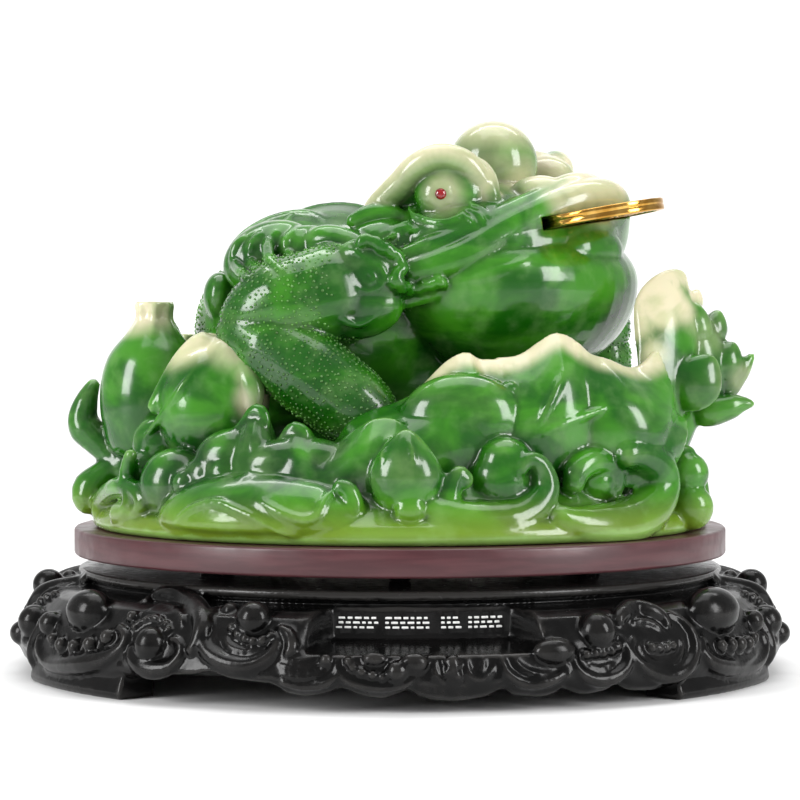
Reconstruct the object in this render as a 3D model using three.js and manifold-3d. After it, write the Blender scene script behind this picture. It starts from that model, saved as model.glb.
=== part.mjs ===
// A money toad on a turntable: a cast figure of a toad among waves and lotus leaves, with a coin in its
// mouth and a red stone in each eye, on a round board that turns on a carved base.
// Millimetres, +Z up, origin under the middle of the base, the toad's head towards +X.
import * as THREE from "three";
import { mergeVertices } from "three/addons/utils/BufferGeometryUtils.js";
import Module from "manifold-3d";

const wasm = await Module();
wasm.setup();

// Driving dimensions
const figureRadius = 151; // foot of the cast figure
const boardMargin = 9; // board beyond the figure's foot
const boardThickness = 13;
const boardEase = 1.5; // eased edge of the board
const baseHeight = 50;
const baseInset = 2; // top of the base inside the board's rim
const skirtReach = 29; // skirt beyond the base's top
const undersideHeight = 11; // flat underside above the ground
const skirtDrop = 5; // lobes of the skirt below that underside
const neckDepth = 5; // hollow of the neck under the base's top edge
const lobeCount = 30; // lobes round the skirt
const footHalf = 15; // degrees to each side of a foot's middle
const footAzimuth = 35; // degrees from the X axis to each foot's middle
const footDepth = 21; // from the outside of a foot to its inside
const panelAzimuth = -86.5; // middle of the plain panel in the front of the base
const panelHalf = 17;
const panelFoot = 27; // height of the panel's lower edge
const bossProud = 8; // bosses beyond the skirt's middle line
const raceInner = 62;
const raceWidth = 20;
const raceThickness = 2.4;
const runningGap = 0.6; // between the two races of the bearing
const seatGap = 0.3; // between pieces that touch
const padRadius = 5;
const padRing = 104;
const padCount = 6;
const padGap = 0.4; // pads to the turning board
const coinRadius = 29.5;
const coinThickness = 5.8;
const coinGap = 0.3;
const coinTilt = 10; // degrees, rising towards the front
const gemRadius = 2.7;
const gemHeight = 2.6;
const gemGap = 0.15;

// Sizes that follow from them
const boardRadius = figureRadius + boardMargin;
const baseTopRadius = boardRadius - baseInset;
const baseRadius = baseTopRadius + skirtReach;
const raceOuter = raceInner + raceWidth;
const raceBottom = baseHeight + seatGap;
const raceTop = raceBottom + raceThickness + runningGap;
const boardBottom = raceTop + raceThickness + seatGap;
const figureBottom = boardBottom + boardThickness + seatGap;
const turn = Math.PI * 2;
const degree = Math.PI / 180;

// The figure is carved in shares of its foot's radius, so that its pose and proportions stay together.
const share = figureRadius / 151;

// Closed geometry as a solid, and a solid back as geometry
function solid(geometry) {
  const bare = geometry.clone();
  bare.deleteAttribute("normal");
  bare.deleteAttribute("uv");
  const merged = mergeVertices(bare, 1e-3);
  return new wasm.Manifold(
    new wasm.Mesh({
      numProp: 3,
      vertProperties: new Float32Array(merged.attributes.position.array),
      triVerts: new Uint32Array(merged.index.array),
    }),
  );
}

function fuse(geometries) {
  return geometries.map(solid).reduce((whole, next) => whole.add(next));
}

// A casting has no sealed bubbles: only outer skins are kept.
function outerSkin(whole) {
  return whole
    .decompose()
    .filter((skin) => skin.volume() > 0)
    .reduce((a, b) => a.add(b));
}

function geometryOf(whole) {
  const made = whole.getMesh();
  const width = made.numProp;
  const corners = new Float32Array(made.numVert * 3);
  for (let i = 0; i < made.numVert; i++) {
    corners.set(made.vertProperties.subarray(i * width, i * width + 3), i * 3);
  }
  const geometry = new THREE.BufferGeometry();
  geometry.setAttribute("position", new THREE.BufferAttribute(corners, 3));
  geometry.setIndex(new THREE.BufferAttribute(new Uint32Array(made.triVerts), 1));
  return geometry;
}

function piece(name, geometry, material) {
  geometry.computeVertexNormals();
  const mesh = new THREE.Mesh(geometry, material);
  mesh.name = name;
  return mesh;
}

function reshape(geometry, move) {
  const position = geometry.attributes.position;
  const point = new THREE.Vector3();
  for (let i = 0; i < position.count; i++) {
    point.fromBufferAttribute(position, i);
    move(point);
    position.setXYZ(i, point.x, point.y, point.z);
  }
  return geometry;
}

// A lathe turning about Z from [radius, height] pairs that start and end on the axis
function turned(profile, segments) {
  const points = profile.map(([radius, height]) => new THREE.Vector2(radius, height));
  return new THREE.LatheGeometry(points, segments).rotateX(Math.PI / 2);
}

// A flat ring of square section, lying at a height
function ring(inner, outer, bottom, height) {
  const top = bottom + height;
  return turned([[inner, bottom], [outer, bottom], [outer, top], [inner, top], [inner, bottom]], 28);
}

// An egg: half-widths along x and y, its rise above its widest level, and its drop below it
function egg([x, y, z], [wide, deep, rise, drop = rise], sides = 10, [tip, lean, spin] = [0, 0, 0]) {
  const geometry = new THREE.SphereGeometry(1, sides, Math.round(sides * 0.6));
  geometry.rotateX(Math.PI / 2);
  reshape(geometry, (p) => p.set(p.x * wide, p.y * deep, p.z * (p.z > 0 ? rise : drop)));
  geometry.rotateX(tip * degree).rotateY(lean * degree).rotateZ(spin * degree);
  return geometry.translate(x, y, z).scale(share, share, share);
}

// A horn: a round bar bent through points, thick as the radii say, and closed to a point at its ends
function horn(points, radii, sides = 6, steps = points.length * 2) {
  const curve = new THREE.CatmullRomCurve3(points.map((p) => new THREE.Vector3(...p)), false, "centripetal");
  const frames = curve.computeFrenetFrames(steps, false);
  const geometry = new THREE.SphereGeometry(1, sides, steps);
  geometry.rotateX(Math.PI / 2);
  const last = radii.length - 1;
  reshape(geometry, (p) => {
    const step = steps - Math.round((Math.acos(THREE.MathUtils.clamp(p.z, -1, 1)) / Math.PI) * steps);
    const t = step / steps;
    const band = Math.min(Math.floor(t * last), last - 1);
    const radius = THREE.MathUtils.lerp(radii[band], radii[band + 1], t * last - band);
    const flat = Math.hypot(p.x, p.y);
    const reach = step === 0 || step === steps ? 0 : radius / flat;
    const across = frames.normals[step].clone().multiplyScalar(p.x * reach);
    const along = frames.binormals[step].clone().multiplyScalar(p.y * reach);
    p.copy(curve.getPointAt(t)).add(across).add(along);
  });
  return geometry.scale(share, share, share);
}

// A leaf: a sheet from its foot edge to its rim, bellied along x and y between them
function leaf(foot, rim, [bellyX, bellyY, bellyZ], thickness, columns, rows = 3) {
  const bend = (edge) => new THREE.CatmullRomCurve3(edge.map((p) => new THREE.Vector3(...p)));
  const low = bend(foot);
  const high = bend(rim);
  const belly = new THREE.Vector3(bellyX, bellyY, bellyZ);
  const at = (a, b) =>
    low
      .getPoint(THREE.MathUtils.clamp(a, 0, 1))
      .lerp(high.getPoint(THREE.MathUtils.clamp(a, 0, 1)), b)
      .addScaledVector(belly, Math.sin(Math.PI * b) * (0.45 + 0.55 * Math.sin(Math.PI * a)));
  const geometry = new THREE.BoxGeometry(1, 1, 1, columns, 1, rows);
  const nudge = 0.02;
  reshape(geometry, (p) => {
    const a = p.x + 0.5;
    const b = p.z + 0.5;
    const side = p.y;
    const along = at(a + nudge, b).sub(at(a - nudge, b));
    const up = at(a, b + nudge).sub(at(a, b - nudge));
    const out = along.cross(up).normalize();
    const ease = b === 1 ? 0.55 : 1;
    p.copy(at(a, b)).addScaledVector(out, side * thickness * ease * -1);
  });
  return geometry.scale(share, share, share);
}

// A scroll: a bar that winds inwards round a centre, in a plane that faces along azimuth "facing"
function scroll([x, y, z], reach, from, sweep, radii, facing = -90, sides = 6, steps = 8) {
  const points = [];
  for (let i = 0; i <= 6; i++) {
    const angle = (from + (sweep * i) / 6) * degree;
    const radius = reach * (1 - 0.45 * (i / 6));
    const across = Math.cos(angle) * radius;
    const up = Math.sin(angle) * radius;
    points.push([x - across * Math.sin(facing * degree), y + across * Math.cos(facing * degree), z + up]);
  }
  return horn(points, radii, sides, steps);
}

const black = new THREE.MeshStandardMaterial({ color: 0x1c1c1c, roughness: 0.35, metalness: 0 });
const maroon = new THREE.MeshStandardMaterial({ color: 0x4b2529, roughness: 0.3, metalness: 0 });
const steel = new THREE.MeshStandardMaterial({ color: 0xa8a49a, roughness: 0.35, metalness: 1 });
const rubber = new THREE.MeshStandardMaterial({ color: 0x222222, roughness: 0.8, metalness: 0 });
const jade = new THREE.MeshStandardMaterial({ color: 0x5c9a46, roughness: 0.15, metalness: 0 });
const gold = new THREE.MeshStandardMaterial({ color: 0xd9a441, roughness: 0.22, metalness: 1 });
const ruby = new THREE.MeshStandardMaterial({ color: 0xb01018, roughness: 0.08, metalness: 0 });

// Carved base: a round plinth with a hollowed neck, a skirt of scroll lobes and four broad feet
const lobeAngle = 360 / lobeCount;

// Bosses of the scrollwork between the feet: azimuth, half-width and height. The wide ones hang in a cup.
const cupFrom = 7;
const bosses = [
  [-61, 8, 26], [-72, 7, 19], [-84, 4.5, 16], [-97, 4.5, 16], [-110, 7.5, 28], [-121, 7, 22],
  [62, 8, 26], [76, 6, 24], [90, 8, 26], [104, 6, 24], [118, 8, 26], [0, 9, 28], [180, 9, 28],
];

function awayFromFoot(azimuth) {
  const folded = Math.abs(((azimuth % 180) + 180) % 180);
  return Math.abs(Math.min(folded, 180 - folded) - footAzimuth);
}

function carvedBase() {
  const neck = baseTopRadius - neckDepth;
  const lobeFoot = undersideHeight - skirtDrop;
  const profile = [
    [0, undersideHeight],
    [baseRadius - footDepth, undersideHeight],
    [baseRadius - 6, lobeFoot],
    [baseRadius, lobeFoot + 7],
    [baseRadius - 2, panelFoot - 6],
    [baseRadius - 5, panelFoot + 2],
    [baseRadius - 13, baseHeight - 11],
    [neck, baseHeight - 7],
    [baseTopRadius, baseHeight - 4],
    [baseTopRadius - 1, baseHeight],
    [0, baseHeight],
  ];
  const body = turned(profile, lobeCount * 2);
  reshape(body, (p) => {
    const radius = Math.hypot(p.x, p.y);
    const azimuth = Math.atan2(p.y, p.x) / degree;
    const onPanel = Math.abs(azimuth - panelAzimuth) < panelHalf;
    if (onPanel && p.z > panelFoot && radius > baseTopRadius + 1) {
      const face = (neck + (p.z < panelFoot + 3 ? 4 : 1)) / radius;
      p.set(p.x * face, p.y * face, p.z);
      return;
    }
    if (radius < baseRadius - 8 || p.z > lobeFoot + 8) return;
    const along = (((azimuth % lobeAngle) + lobeAngle) % lobeAngle) / lobeAngle;
    const notch = along < 0.1 || along > 0.9;
    if (!notch || awayFromFoot(azimuth) < footHalf - 1) return;
    const draw = (radius - 4) / radius;
    p.set(p.x * draw, p.y * draw, p.z < lobeFoot + 4 ? p.z + skirtDrop : p.z);
  });
  const parts = [body];
  for (const middle of [footAzimuth, 180 - footAzimuth, 180 + footAzimuth, 360 - footAzimuth]) {
    parts.push(foot(middle));
    parts.push(boss(middle, 13, bossProud + 2, baseHeight * 0.6, 7));
    parts.push(cup(middle, 9, 2, 3.4));
  }
  for (const [azimuth, wide, height] of bosses) {
    parts.push(boss(azimuth, wide, bossProud, height, 6));
    if (wide > cupFrom) parts.push(cup(azimuth, 5.4, 0, 2.4));
  }
  return fuse(parts);
}

// One foot: an arc of the skirt carried down to the ground
function foot(middle) {
  const shape = new THREE.Shape();
  const from = (middle - footHalf + 1.5) * degree;
  const to = (middle + footHalf - 1.5) * degree;
  shape.absarc(0, 0, baseRadius - 1, from, to, false);
  shape.absarc(0, 0, baseRadius - footDepth, to, from, true);
  shape.closePath();
  const options = { depth: undersideHeight + 6, bevelEnabled: false, curveSegments: 4 };
  return new THREE.ExtrudeGeometry(shape, options);
}

// A round boss on the skirt, half sunk
function boss(azimuth, wide, out, height, sides) {
  const ball = new THREE.SphereGeometry(1, sides, wide > cupFrom ? 4 : 3);
  ball.rotateX(Math.PI / 2).scale(out, wide, wide * 0.9);
  return ball.translate(baseRadius - 8, 0, height).rotateZ(azimuth * degree);
}

// A cup of the scrollwork: a ridge that hangs in a U below a boss
function cup(azimuth, halfAngle, lift, thickness) {
  const top = panelFoot + lift;
  const low = undersideHeight - skirtDrop + 5 + lift;
  const points = [-1, -0.7, 0, 0.7, 1].map((side) => {
    const angle = (azimuth + side * halfAngle) * degree;
    const radius = baseRadius - thickness - 3 * side * side;
    const height = low + (top - low) * Math.pow(Math.abs(side), 2.2);
    return [radius * Math.cos(angle) / share, radius * Math.sin(angle) / share, height / share];
  });
  return horn(points, [thickness * 0.5, thickness, thickness, thickness, thickness * 0.5], 3, 5);
}

// The sea: the foot of the figure and the swell that the toad sits in
const sea = [
  turned([[0, 0], [149, 0], [151, 5], [143, 10], [0, 16]], 26).scale(share, share, share),
  egg([0, 6, 12], [136, 118, 50, 10], 10),
];

// The toad's head is carved facing +X and then turned towards the viewer's side.
const headPlace = [46, 2];
const headTurn = 35;
const mouthLength = 62;
const mouthHalf = 80;
const mouthPower = 1.35; // between a triangle, 1, and an ellipse, 2
const snoutHeight = 159;
const mouthFall = 0.52; // the lips fall this much for each millimetre out to the corners
const coinPlace = [97, -42, 151];
const eyePlace = [4, 53, 160];
const eyeRadius = 12;

function lip(across, lift) {
  const side = Math.abs(across) / mouthHalf;
  const ahead = mouthLength * Math.pow(Math.max(0, 1 - Math.pow(side, mouthPower)), 1 / mouthPower);
  return [ahead, across, snoutHeight - mouthFall * Math.abs(across) + lift];
}

const lipSides = [-1, -0.8, -0.55, -0.32, -0.12, 0.12, 0.32, 0.55, 0.8, 1].map((s) => s * mouthHalf);
const head = [
  egg([5, 0, 119], [65, 73, 34, 51], 12),
  egg([0, 0, 136], [61, 71, 33, 25], 10),
  egg([0, 0, 176], [21, 20, 21], 9),
  horn(lipSides.map((s) => lip(s, 3)), [6, 7, 7, 8, 10, 10, 8, 7, 7, 6], 5, 9),
  horn(lipSides.map((s) => lip(s, -9)), [4, 5, 5, 5, 6, 6, 5, 5, 5, 4], 4, 7),
];
for (const side of [-1, 1]) {
  head.push(egg([eyePlace[0], side * eyePlace[1], eyePlace[2]], [eyeRadius, eyeRadius, eyeRadius], 8));
  const brow = [
    [-44, 57, 148],
    [-24, 58, 158],
    [-9, 54, 166],
    [6, 48, 170],
    [20, 45, 166],
    [31, 49, 153],
  ];
  const lift = side > 0 ? 6 : 1;
  head.push(horn(brow.map(([u, v, w]) => [u, v * side, w + lift]), [2, 6, 9, 11, 9, 3], 6, 6));
  head.push(egg([38, side * 18, 162], [15, 10, 8], 7));
  head.push(egg([-2, side * 76, 121], [7, 7, 9], 6));
}
for (const carved of head) {
  carved.rotateZ(-headTurn * degree);
  carved.translate(headPlace[0] * share, headPlace[1] * share, 0);
}

// Trunk, the coins on the back, and three warty legs: two in front, one behind
const trunk = [
  egg([-24, 6, 98], [70, 62, 50, 60], 10),
  egg([-72, 14, 96], [30, 46, 34, 50], 9),
];
const nearLeg = [
  horn([[-8, -50, 120], [-34, -60, 112], [-62, -64, 105], [-84, -62, 96]], [18, 24, 22, 10], 7, 5),
  horn(
    [[-86, -60, 96], [-70, -66, 92], [-46, -74, 78], [-22, -80, 60], [-2, -84, 44]],
    [10, 18, 20, 19, 12],
    7,
    6,
  ),
  egg([-16, -76, 120], [14, 12, 14], 8),
  horn(
    [[-42, -80, 112], [-32, -85, 101], [-16, -87, 97], [-2, -83, 104], [2, -74, 118]],
    [3, 5, 6, 5, 3],
    5,
    5,
  ),
];
const farLeg = [
  horn([[50, 50, 124], [78, 62, 116], [100, 62, 104], [110, 54, 84]], [20, 20, 16, 12], 7, 5),
  horn([[108, 58, 96], [104, 62, 74], [98, 60, 52]], [12, 15, 12], 6, 3),
];
const hindLeg = [
  horn([[-64, 30, 106], [-76, 50, 96], [-74, 70, 78], [-60, 84, 58]], [20, 20, 18, 12], 7, 5),
  egg([-85, 6, 104], [12, 20, 22], 7),
];

// One coin of the back: a thick disc with a raised edge, leaning on the trunk
function backCoin([x, y, z], radius, tip, lean) {
  const profile = [[0, -5], [radius, -5], [radius, 3], [radius - 5, 3], [radius - 7, 0.6], [0, 0.6]];
  const coin = turned(profile, 9).rotateX(tip * degree).rotateY(lean * degree);
  return coin.translate(x, y, z).scale(share, share, share);
}

const drape = [
  backCoin([-59, -18, 136], 28, 34, -22),
  backCoin([-33, -14, 146], 25, 26, -4),
  backCoin([-60, 26, 134], 25, -26, -24),
  horn([[-26, -44, 146], [-14, -42, 153], [-2, -40, 151], [10, -38, 144]], [3, 6, 6, 3], 4, 4),
  horn(
    [
      [-26, -44, 136],
      [-18, -57, 134],
      [-9, -65, 131],
      [-1, -66, 125],
      [0, -68, 120],
      [-2, -68, 116],
      [8, -64, 114],
      [20, -61, 119],
    ],
    [3, 3.4, 3.4, 3.4, 3.4, 3.4, 3.4, 3],
    4,
    7,
  ),
  egg([-92, -14, 112], [8, 12, 12], 6),
];

// The lotus leaves that stand in front of the toad, from the left to the right
const frontLeaves = [
  leaf(
    [[-70, -106, 22], [-50, -112, 20], [-30, -114, 20]],
    [[-66, -98, 59], [-57, -98, 44], [-47, -100, 50], [-35, -100, 39]],
    [0, -8, 0],
    7,
    5,
    2,
  ),
  leaf(
    [[-36, -112, 20], [-8, -116, 24], [24, -114, 26], [48, -108, 28]],
    [[-35, -98, 39], [-25, -98, 52], [-2, -98, 61], [12, -96, 70], [31, -95, 86], [44, -94, 83]],
    [4, -14, 0],
    8,
    7,
    2,
  ),
  leaf(
    [[40, -108, 28], [62, -104, 28], [88, -96, 28]],
    [[42, -93, 83], [58, -92, 86], [73, -90, 95], [88, -84, 84]],
    [4, -13, 0],
    8,
    4,
    2,
  ),
  leaf(
    [[82, -98, 28], [106, -86, 28], [124, -66, 28]],
    [[80, -90, 92], [90, -84, 84], [107, -76, 80], [122, -62, 90]],
    [8, -14, 0],
    8,
    4,
    2,
  ),
  leaf(
    [[108, -60, 40], [122, -50, 36], [134, -34, 40]],
    [[114, -49, 100], [120, -43, 114], [134, -32, 124], [138, -20, 97]],
    [6, -6, 0],
    7,
    4,
    2,
  ),
  leaf(
    [[98, -92, 26], [112, -86, 26], [124, -75, 34]],
    [[100, -80, 70], [117, -76, 63], [134, -66, 54]],
    [3, -8, 0],
    7,
    4,
    2,
  ),
];

// Buds, pods and the bubbles of the foam
const podProfile = [[0, 30], [18, 36], [25, 62], [22, 84], [8, 101], [7, 106], [9, 109], [0, 106]];
function pod([x, y, z], size) {
  const body = turned(podProfile.map(([r, h]) => [r * size, h * size]), 8);
  return body.translate(x, y, z).scale(share, share, share);
}

const buds = [
  pod([-122, -22, 0], 1),
  egg([-89, -64, 58], [25, 22, 31, 30], 8),
  horn(
    [[-117, -66, 56], [-105, -66, 76], [-92, -64, 88], [-80, -62, 85], [-68, -62, 74], [-64, -64, 56]],
    [4, 6, 7, 6, 5, 3],
    4,
    6,
  ),
  egg([3, -134, 31], [16, 14, 20], 8),
];

const bubbles = [
  [-110, -84, 44, 10.5],
  [-104, -84, 24, 17],
  [-88, -108, 29, 13],
  [-122, -80, 22, 12],
  [45, -126, 32, 12.5],
  [86, -108, 28, 11],
  [126, -80, 29, 9],
  [141, -48, 22, 9],
  [-133, -14, 28, 13],
  [-66, -118, 18, 14],
  [128, -84, 10, 11],
];

const waves = [
  horn(
    [[-149, -8, 72], [-152, -12, 62], [-152, -12, 50], [-143, -14, 39], [-139, -16, 28], [-148, -21, 13]],
    [3, 7, 9, 7, 8, 10],
    5,
    7,
  ),
  scroll([-121, -88, 18], 15, 200, -300, [6, 6, 5, 4, 3], -60, 5, 6),
  scroll([-27, -138, 17], 10, 250, -260, [4, 5, 4, 3], -100, 4, 6),
  scroll([42, -137, 24], 20, 165, 250, [4, 7, 8, 7, 5], -73, 5, 7),
  scroll([98, -108, 24], 20, 180, 250, [4, 7, 8, 7, 5], -48, 5, 7),
  horn([[-104, -108, 20], [-74, -126, 16], [-44, -138, 8], [-24, -142, 6]], [5, 9, 9, 6], 6, 5),
  horn([[130, -44, 32], [139, -42, 26], [140, -46, 13], [136, -56, 6]], [5, 7, 8, 6], 5, 5),
];

// The lotus flower at the right: petals round a heart, pointed ones outside
const flowerPlace = [142, -28, 76];
const petals = [
  egg(flowerPlace, [16, 15, 26, 24], 8),
  horn([[118, -44, 6], [128, -38, 36], [140, -30, 66]], [9, 9, 10], 6, 3),
];
for (const [x, y, z, wide, high, lean] of [
  [142, -34, 96, 9, 13, 0],
  [152, -25, 96, 7, 10, 14],
  [142, -26, 109, 5, 7, 20],
  [157, -30, 80, 9, 11, 24],
  [133, -38, 84, 9, 14, -14],
  [143, -43, 71, 14, 14, 30],
]) {
  petals.push(egg([x, y, z], [wide, 7, high], 6, [0, lean, 0]));
}
petals.push(horn([[152, -27, 62], [162, -27, 73], [168, -27, 80], [171, -27, 85]], [6, 7, 5, 1.5], 5, 4));
petals.push(horn([[140, -38, 54], [154, -37, 58], [164, -36, 60], [171, -36, 60]], [6, 7, 6, 1.5], 5, 4));

// The side away from the viewer: plainer leaves, pods and bubbles in the same manner
const backGrowth = [
  leaf(
    [[-30, 116, 20], [-70, 104, 20], [-106, 78, 20]],
    [[-28, 96, 62], [-64, 92, 74], [-100, 72, 60]],
    [-6, 14, 0],
    8,
    4,
    2,
  ),
  leaf(
    [[60, 108, 20], [20, 118, 20], [-24, 116, 20]],
    [[62, 92, 70], [22, 98, 84], [-26, 98, 64]],
    [0, 15, 0],
    8,
    4,
    2,
  ),
  leaf(
    [[124, 60, 20], [100, 90, 20], [62, 110, 20]],
    [[122, 56, 66], [96, 80, 78], [62, 96, 66]],
    [8, 12, 0],
    8,
    4,
    2,
  ),
  pod([-112, 48, 0], 0.86),
  scroll([10, 132, 20], 20, 190, 230, [6, 8, 8, 5, 4], 92, 5, 6),
  scroll([-70, 114, 20], 18, 190, 230, [6, 7, 7, 5, 4], 122, 5, 6),
  scroll([86, 108, 20], 18, 190, 230, [6, 7, 7, 5, 4], 52, 5, 6),
  egg([-26, 128, 20], [14, 12, 14], 6),
  egg([48, 124, 18], [13, 11, 13], 6),
  egg([-100, 94, 18], [13, 12, 13], 6),
];

function coinSolid(grow) {
  const radius = coinRadius + grow;
  const half = coinThickness / 2 + grow;
  const profile = [
    [0, -half],
    [radius - 0.8, -half],
    [radius, -half + 0.8],
    [radius, half - 0.8],
    [radius - 0.8, half],
    [0, half],
  ];
  const coin = turned(profile, 24).rotateY(-coinTilt * degree);
  return coin.translate(...coinPlace.map((v) => v * share));
}

function eyeTurn(side) {
  const [u, v, w] = eyePlace;
  const cos = Math.cos(-headTurn * degree);
  const sin = Math.sin(-headTurn * degree);
  const centre = [
    headPlace[0] + u * cos - v * side * sin,
    headPlace[1] + u * sin + v * side * cos,
    w,
  ];
  const azimuth = side < 0 ? -88 : 20;
  return { centre: centre.map((value) => value * share), azimuth };
}

// A domed stone let into the eye, standing a little proud of it
function gemSolid(side, grow) {
  const { centre, azimuth } = eyeTurn(side);
  const seat = eyeRadius * share - gemHeight * 0.6;
  const radius = gemRadius + grow;
  const profile = [
    [0, seat - grow],
    [radius, seat - grow],
    [radius, seat + gemHeight * 0.6],
    [radius * 0.62, seat + gemHeight * 0.9],
    [0, seat + gemHeight],
  ];
  const gem = turned(profile, 8).rotateY(Math.PI / 2).rotateZ(azimuth * degree);
  return gem.translate(...centre);
}

function toadFigure() {
  const toad = [trunk, head, nearLeg, farLeg, hindLeg, drape];
  const grown = [sea, toad.flat(), frontLeaves, buds, waves, petals, backGrowth].flat();
  for (const [x, y, z, radius] of bubbles) {
    grown.push(egg([x, y, z], [radius, radius * 0.9, radius], 6));
  }
  const below = new THREE.BoxGeometry(3 * figureRadius, 3 * figureRadius, 40).translate(0, 0, -20);
  let whole = fuse(grown).subtract(solid(below)).subtract(solid(coinSolid(coinGap)));
  for (const side of [-1, 1]) {
    whole = whole.subtract(solid(gemSolid(side, gemGap)));
  }
  return outerSkin(whole);
}

const stand = new THREE.Group();
stand.add(piece("carved_base", geometryOf(carvedBase()), black));
stand.add(piece("bearing_lower_race", ring(raceInner, raceOuter, raceBottom, raceThickness), steel));
for (let i = 0; i < padCount; i++) {
  const angle = ((i + 0.5) / padCount) * turn;
  const height = boardBottom - padGap - baseHeight - seatGap;
  const pad = new THREE.CylinderGeometry(padRadius, padRadius, height, 8).rotateX(Math.PI / 2);
  pad.translate(padRing * Math.cos(angle), padRing * Math.sin(angle), baseHeight + seatGap + height / 2);
  stand.add(piece("glide_pad_" + (i + 1), pad, rubber));
}

const turntable = new THREE.Group();
const boardProfile = [
  [0, 0],
  [boardRadius - boardEase, 0],
  [boardRadius, boardEase],
  [boardRadius, boardThickness - boardEase],
  [boardRadius - boardEase, boardThickness],
  [0, boardThickness],
];
turntable.add(piece("bearing_upper_race", ring(raceInner, raceOuter, raceTop, raceThickness), steel));
turntable.add(piece("turntable_board", turned(boardProfile, 40).translate(0, 0, boardBottom), maroon));

const figure = new THREE.Group();
figure.position.z = figureBottom;
figure.add(piece("toad_figure", geometryOf(toadFigure()), jade));
figure.add(piece("mouth_coin", coinSolid(0), gold));
figure.add(piece("eye_gem_right", gemSolid(-1, 0), ruby));
figure.add(piece("eye_gem_left", gemSolid(1, 0), ruby));
turntable.add(figure);

const moneyToad = new THREE.Group();
moneyToad.add(stand, turntable);

export default moneyToad;
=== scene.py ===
# A money toad ornament: a jade-coloured resin casting of a toad among waves and lotus, with a loose gold coin
# in its mouth, standing on a lacquered board that turns on a black carved base.
import math
import random

import bmesh
import bpy
import numpy as np
from mathutils import Euler, Matrix, Vector
from mathutils.bvhtree import BVHTree


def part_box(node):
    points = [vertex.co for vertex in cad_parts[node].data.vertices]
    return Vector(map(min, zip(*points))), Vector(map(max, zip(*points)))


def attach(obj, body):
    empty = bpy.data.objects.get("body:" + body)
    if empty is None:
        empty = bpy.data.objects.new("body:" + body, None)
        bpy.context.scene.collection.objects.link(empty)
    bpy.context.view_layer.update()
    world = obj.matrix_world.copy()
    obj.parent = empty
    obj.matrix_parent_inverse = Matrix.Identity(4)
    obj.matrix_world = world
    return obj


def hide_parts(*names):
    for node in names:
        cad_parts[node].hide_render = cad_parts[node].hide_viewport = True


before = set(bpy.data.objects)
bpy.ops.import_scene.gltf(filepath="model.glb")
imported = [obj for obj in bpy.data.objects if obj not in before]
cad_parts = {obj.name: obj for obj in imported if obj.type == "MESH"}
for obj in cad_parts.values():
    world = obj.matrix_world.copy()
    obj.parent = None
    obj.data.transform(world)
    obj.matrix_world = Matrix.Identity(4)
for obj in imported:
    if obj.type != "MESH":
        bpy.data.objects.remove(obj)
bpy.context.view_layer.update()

MM = 0.001
scene = bpy.context.scene


# The photographer's table: a pale sweep, two tall soft lights left and right, a weaker one above, and the camera
# at the height of the toad's mouth, a little over a metre in front.
EYE = Vector((0.0, -1.370, 0.1635))
DEGREES_DOWN = 1.384
floor_mesh = bpy.data.meshes.new("studio_sweep")
sweep = bmesh.new()
profile = [sweep.verts.new((-4.0, y, z)) for y, z in ((-3.0, 0.0), (1.6, 0.0), (2.2, 0.12), (2.6, 0.5), (2.8, 3.5))]
profile_edges = [sweep.edges.new(pair) for pair in zip(profile, profile[1:])]
drawn = bmesh.ops.extrude_edge_only(sweep, edges=profile_edges)
bmesh.ops.translate(sweep, vec=(8.0, 0.0, 0.0), verts=[v for v in drawn["geom"] if isinstance(v, bmesh.types.BMVert)])
bmesh.ops.recalc_face_normals(sweep, faces=sweep.faces)
for face in sweep.faces:
    face.smooth = True
sweep.to_mesh(floor_mesh)
sweep.free()
floor = bpy.data.objects.new("studio_sweep", floor_mesh)
scene.collection.objects.link(floor)


def new_finish(name):
    """A material to fill in, with its nodes, its links and its shader."""
    material = bpy.data.materials.new(name)
    material.use_nodes = True
    tree = material.node_tree
    return material, tree.nodes, tree.links, tree.nodes["Principled BSDF"]


paper, _, _, shader = new_finish("white_paper")
shader.inputs["Base Color"].default_value = (0.86, 0.86, 0.86, 1)
shader.inputs["Roughness"].default_value = 0.55
floor_mesh.materials.append(paper)

sky = bpy.data.worlds.new("studio")
scene.world = sky
sky.use_nodes = True
sky.node_tree.nodes["Background"].inputs["Color"].default_value = (1, 1, 1, 1)
sky.node_tree.nodes["Background"].inputs["Strength"].default_value = 0.42
scene.view_settings.view_transform = "Standard"


def soft_light(name, place, aim, width, height, power):
    """A rectangular studio light at a place, turned towards what it lights."""
    lamp = bpy.data.lights.new(name, "AREA")
    lamp.shape = "RECTANGLE"
    lamp.size = width
    lamp.size_y = height
    lamp.energy = power
    light = bpy.data.objects.new(name, lamp)
    light.location = place
    light.rotation_euler = (Vector(aim) - Vector(place)).to_track_quat("-Z", "Y").to_euler()
    scene.collection.objects.link(light)


soft_light("left_softbox", (-1.15, -0.75, 0.62), (0, 0, 0.12), width=0.45, height=0.9, power=17)
soft_light("right_softbox", (1.15, -0.75, 0.62), (0, 0, 0.12), width=0.45, height=0.9, power=15)
soft_light("overhead", (0, 0.1, 1.6), (0, 0, 0.1), width=1.3, height=0.9, power=9)
soft_light("backdrop_wash", (0, 1.1, 2.4), (0, 2.4, 0.9), width=3.0, height=0.6, power=55)

lens = bpy.data.cameras.new("camera")
lens.lens = 124.8
lens.sensor_width = 36
camera = bpy.data.objects.new("camera", lens)
camera.location = EYE
camera.rotation_euler = (math.radians(90 - DEGREES_DOWN), 0, 0)
scene.collection.objects.link(camera)
scene.camera = camera


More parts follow.
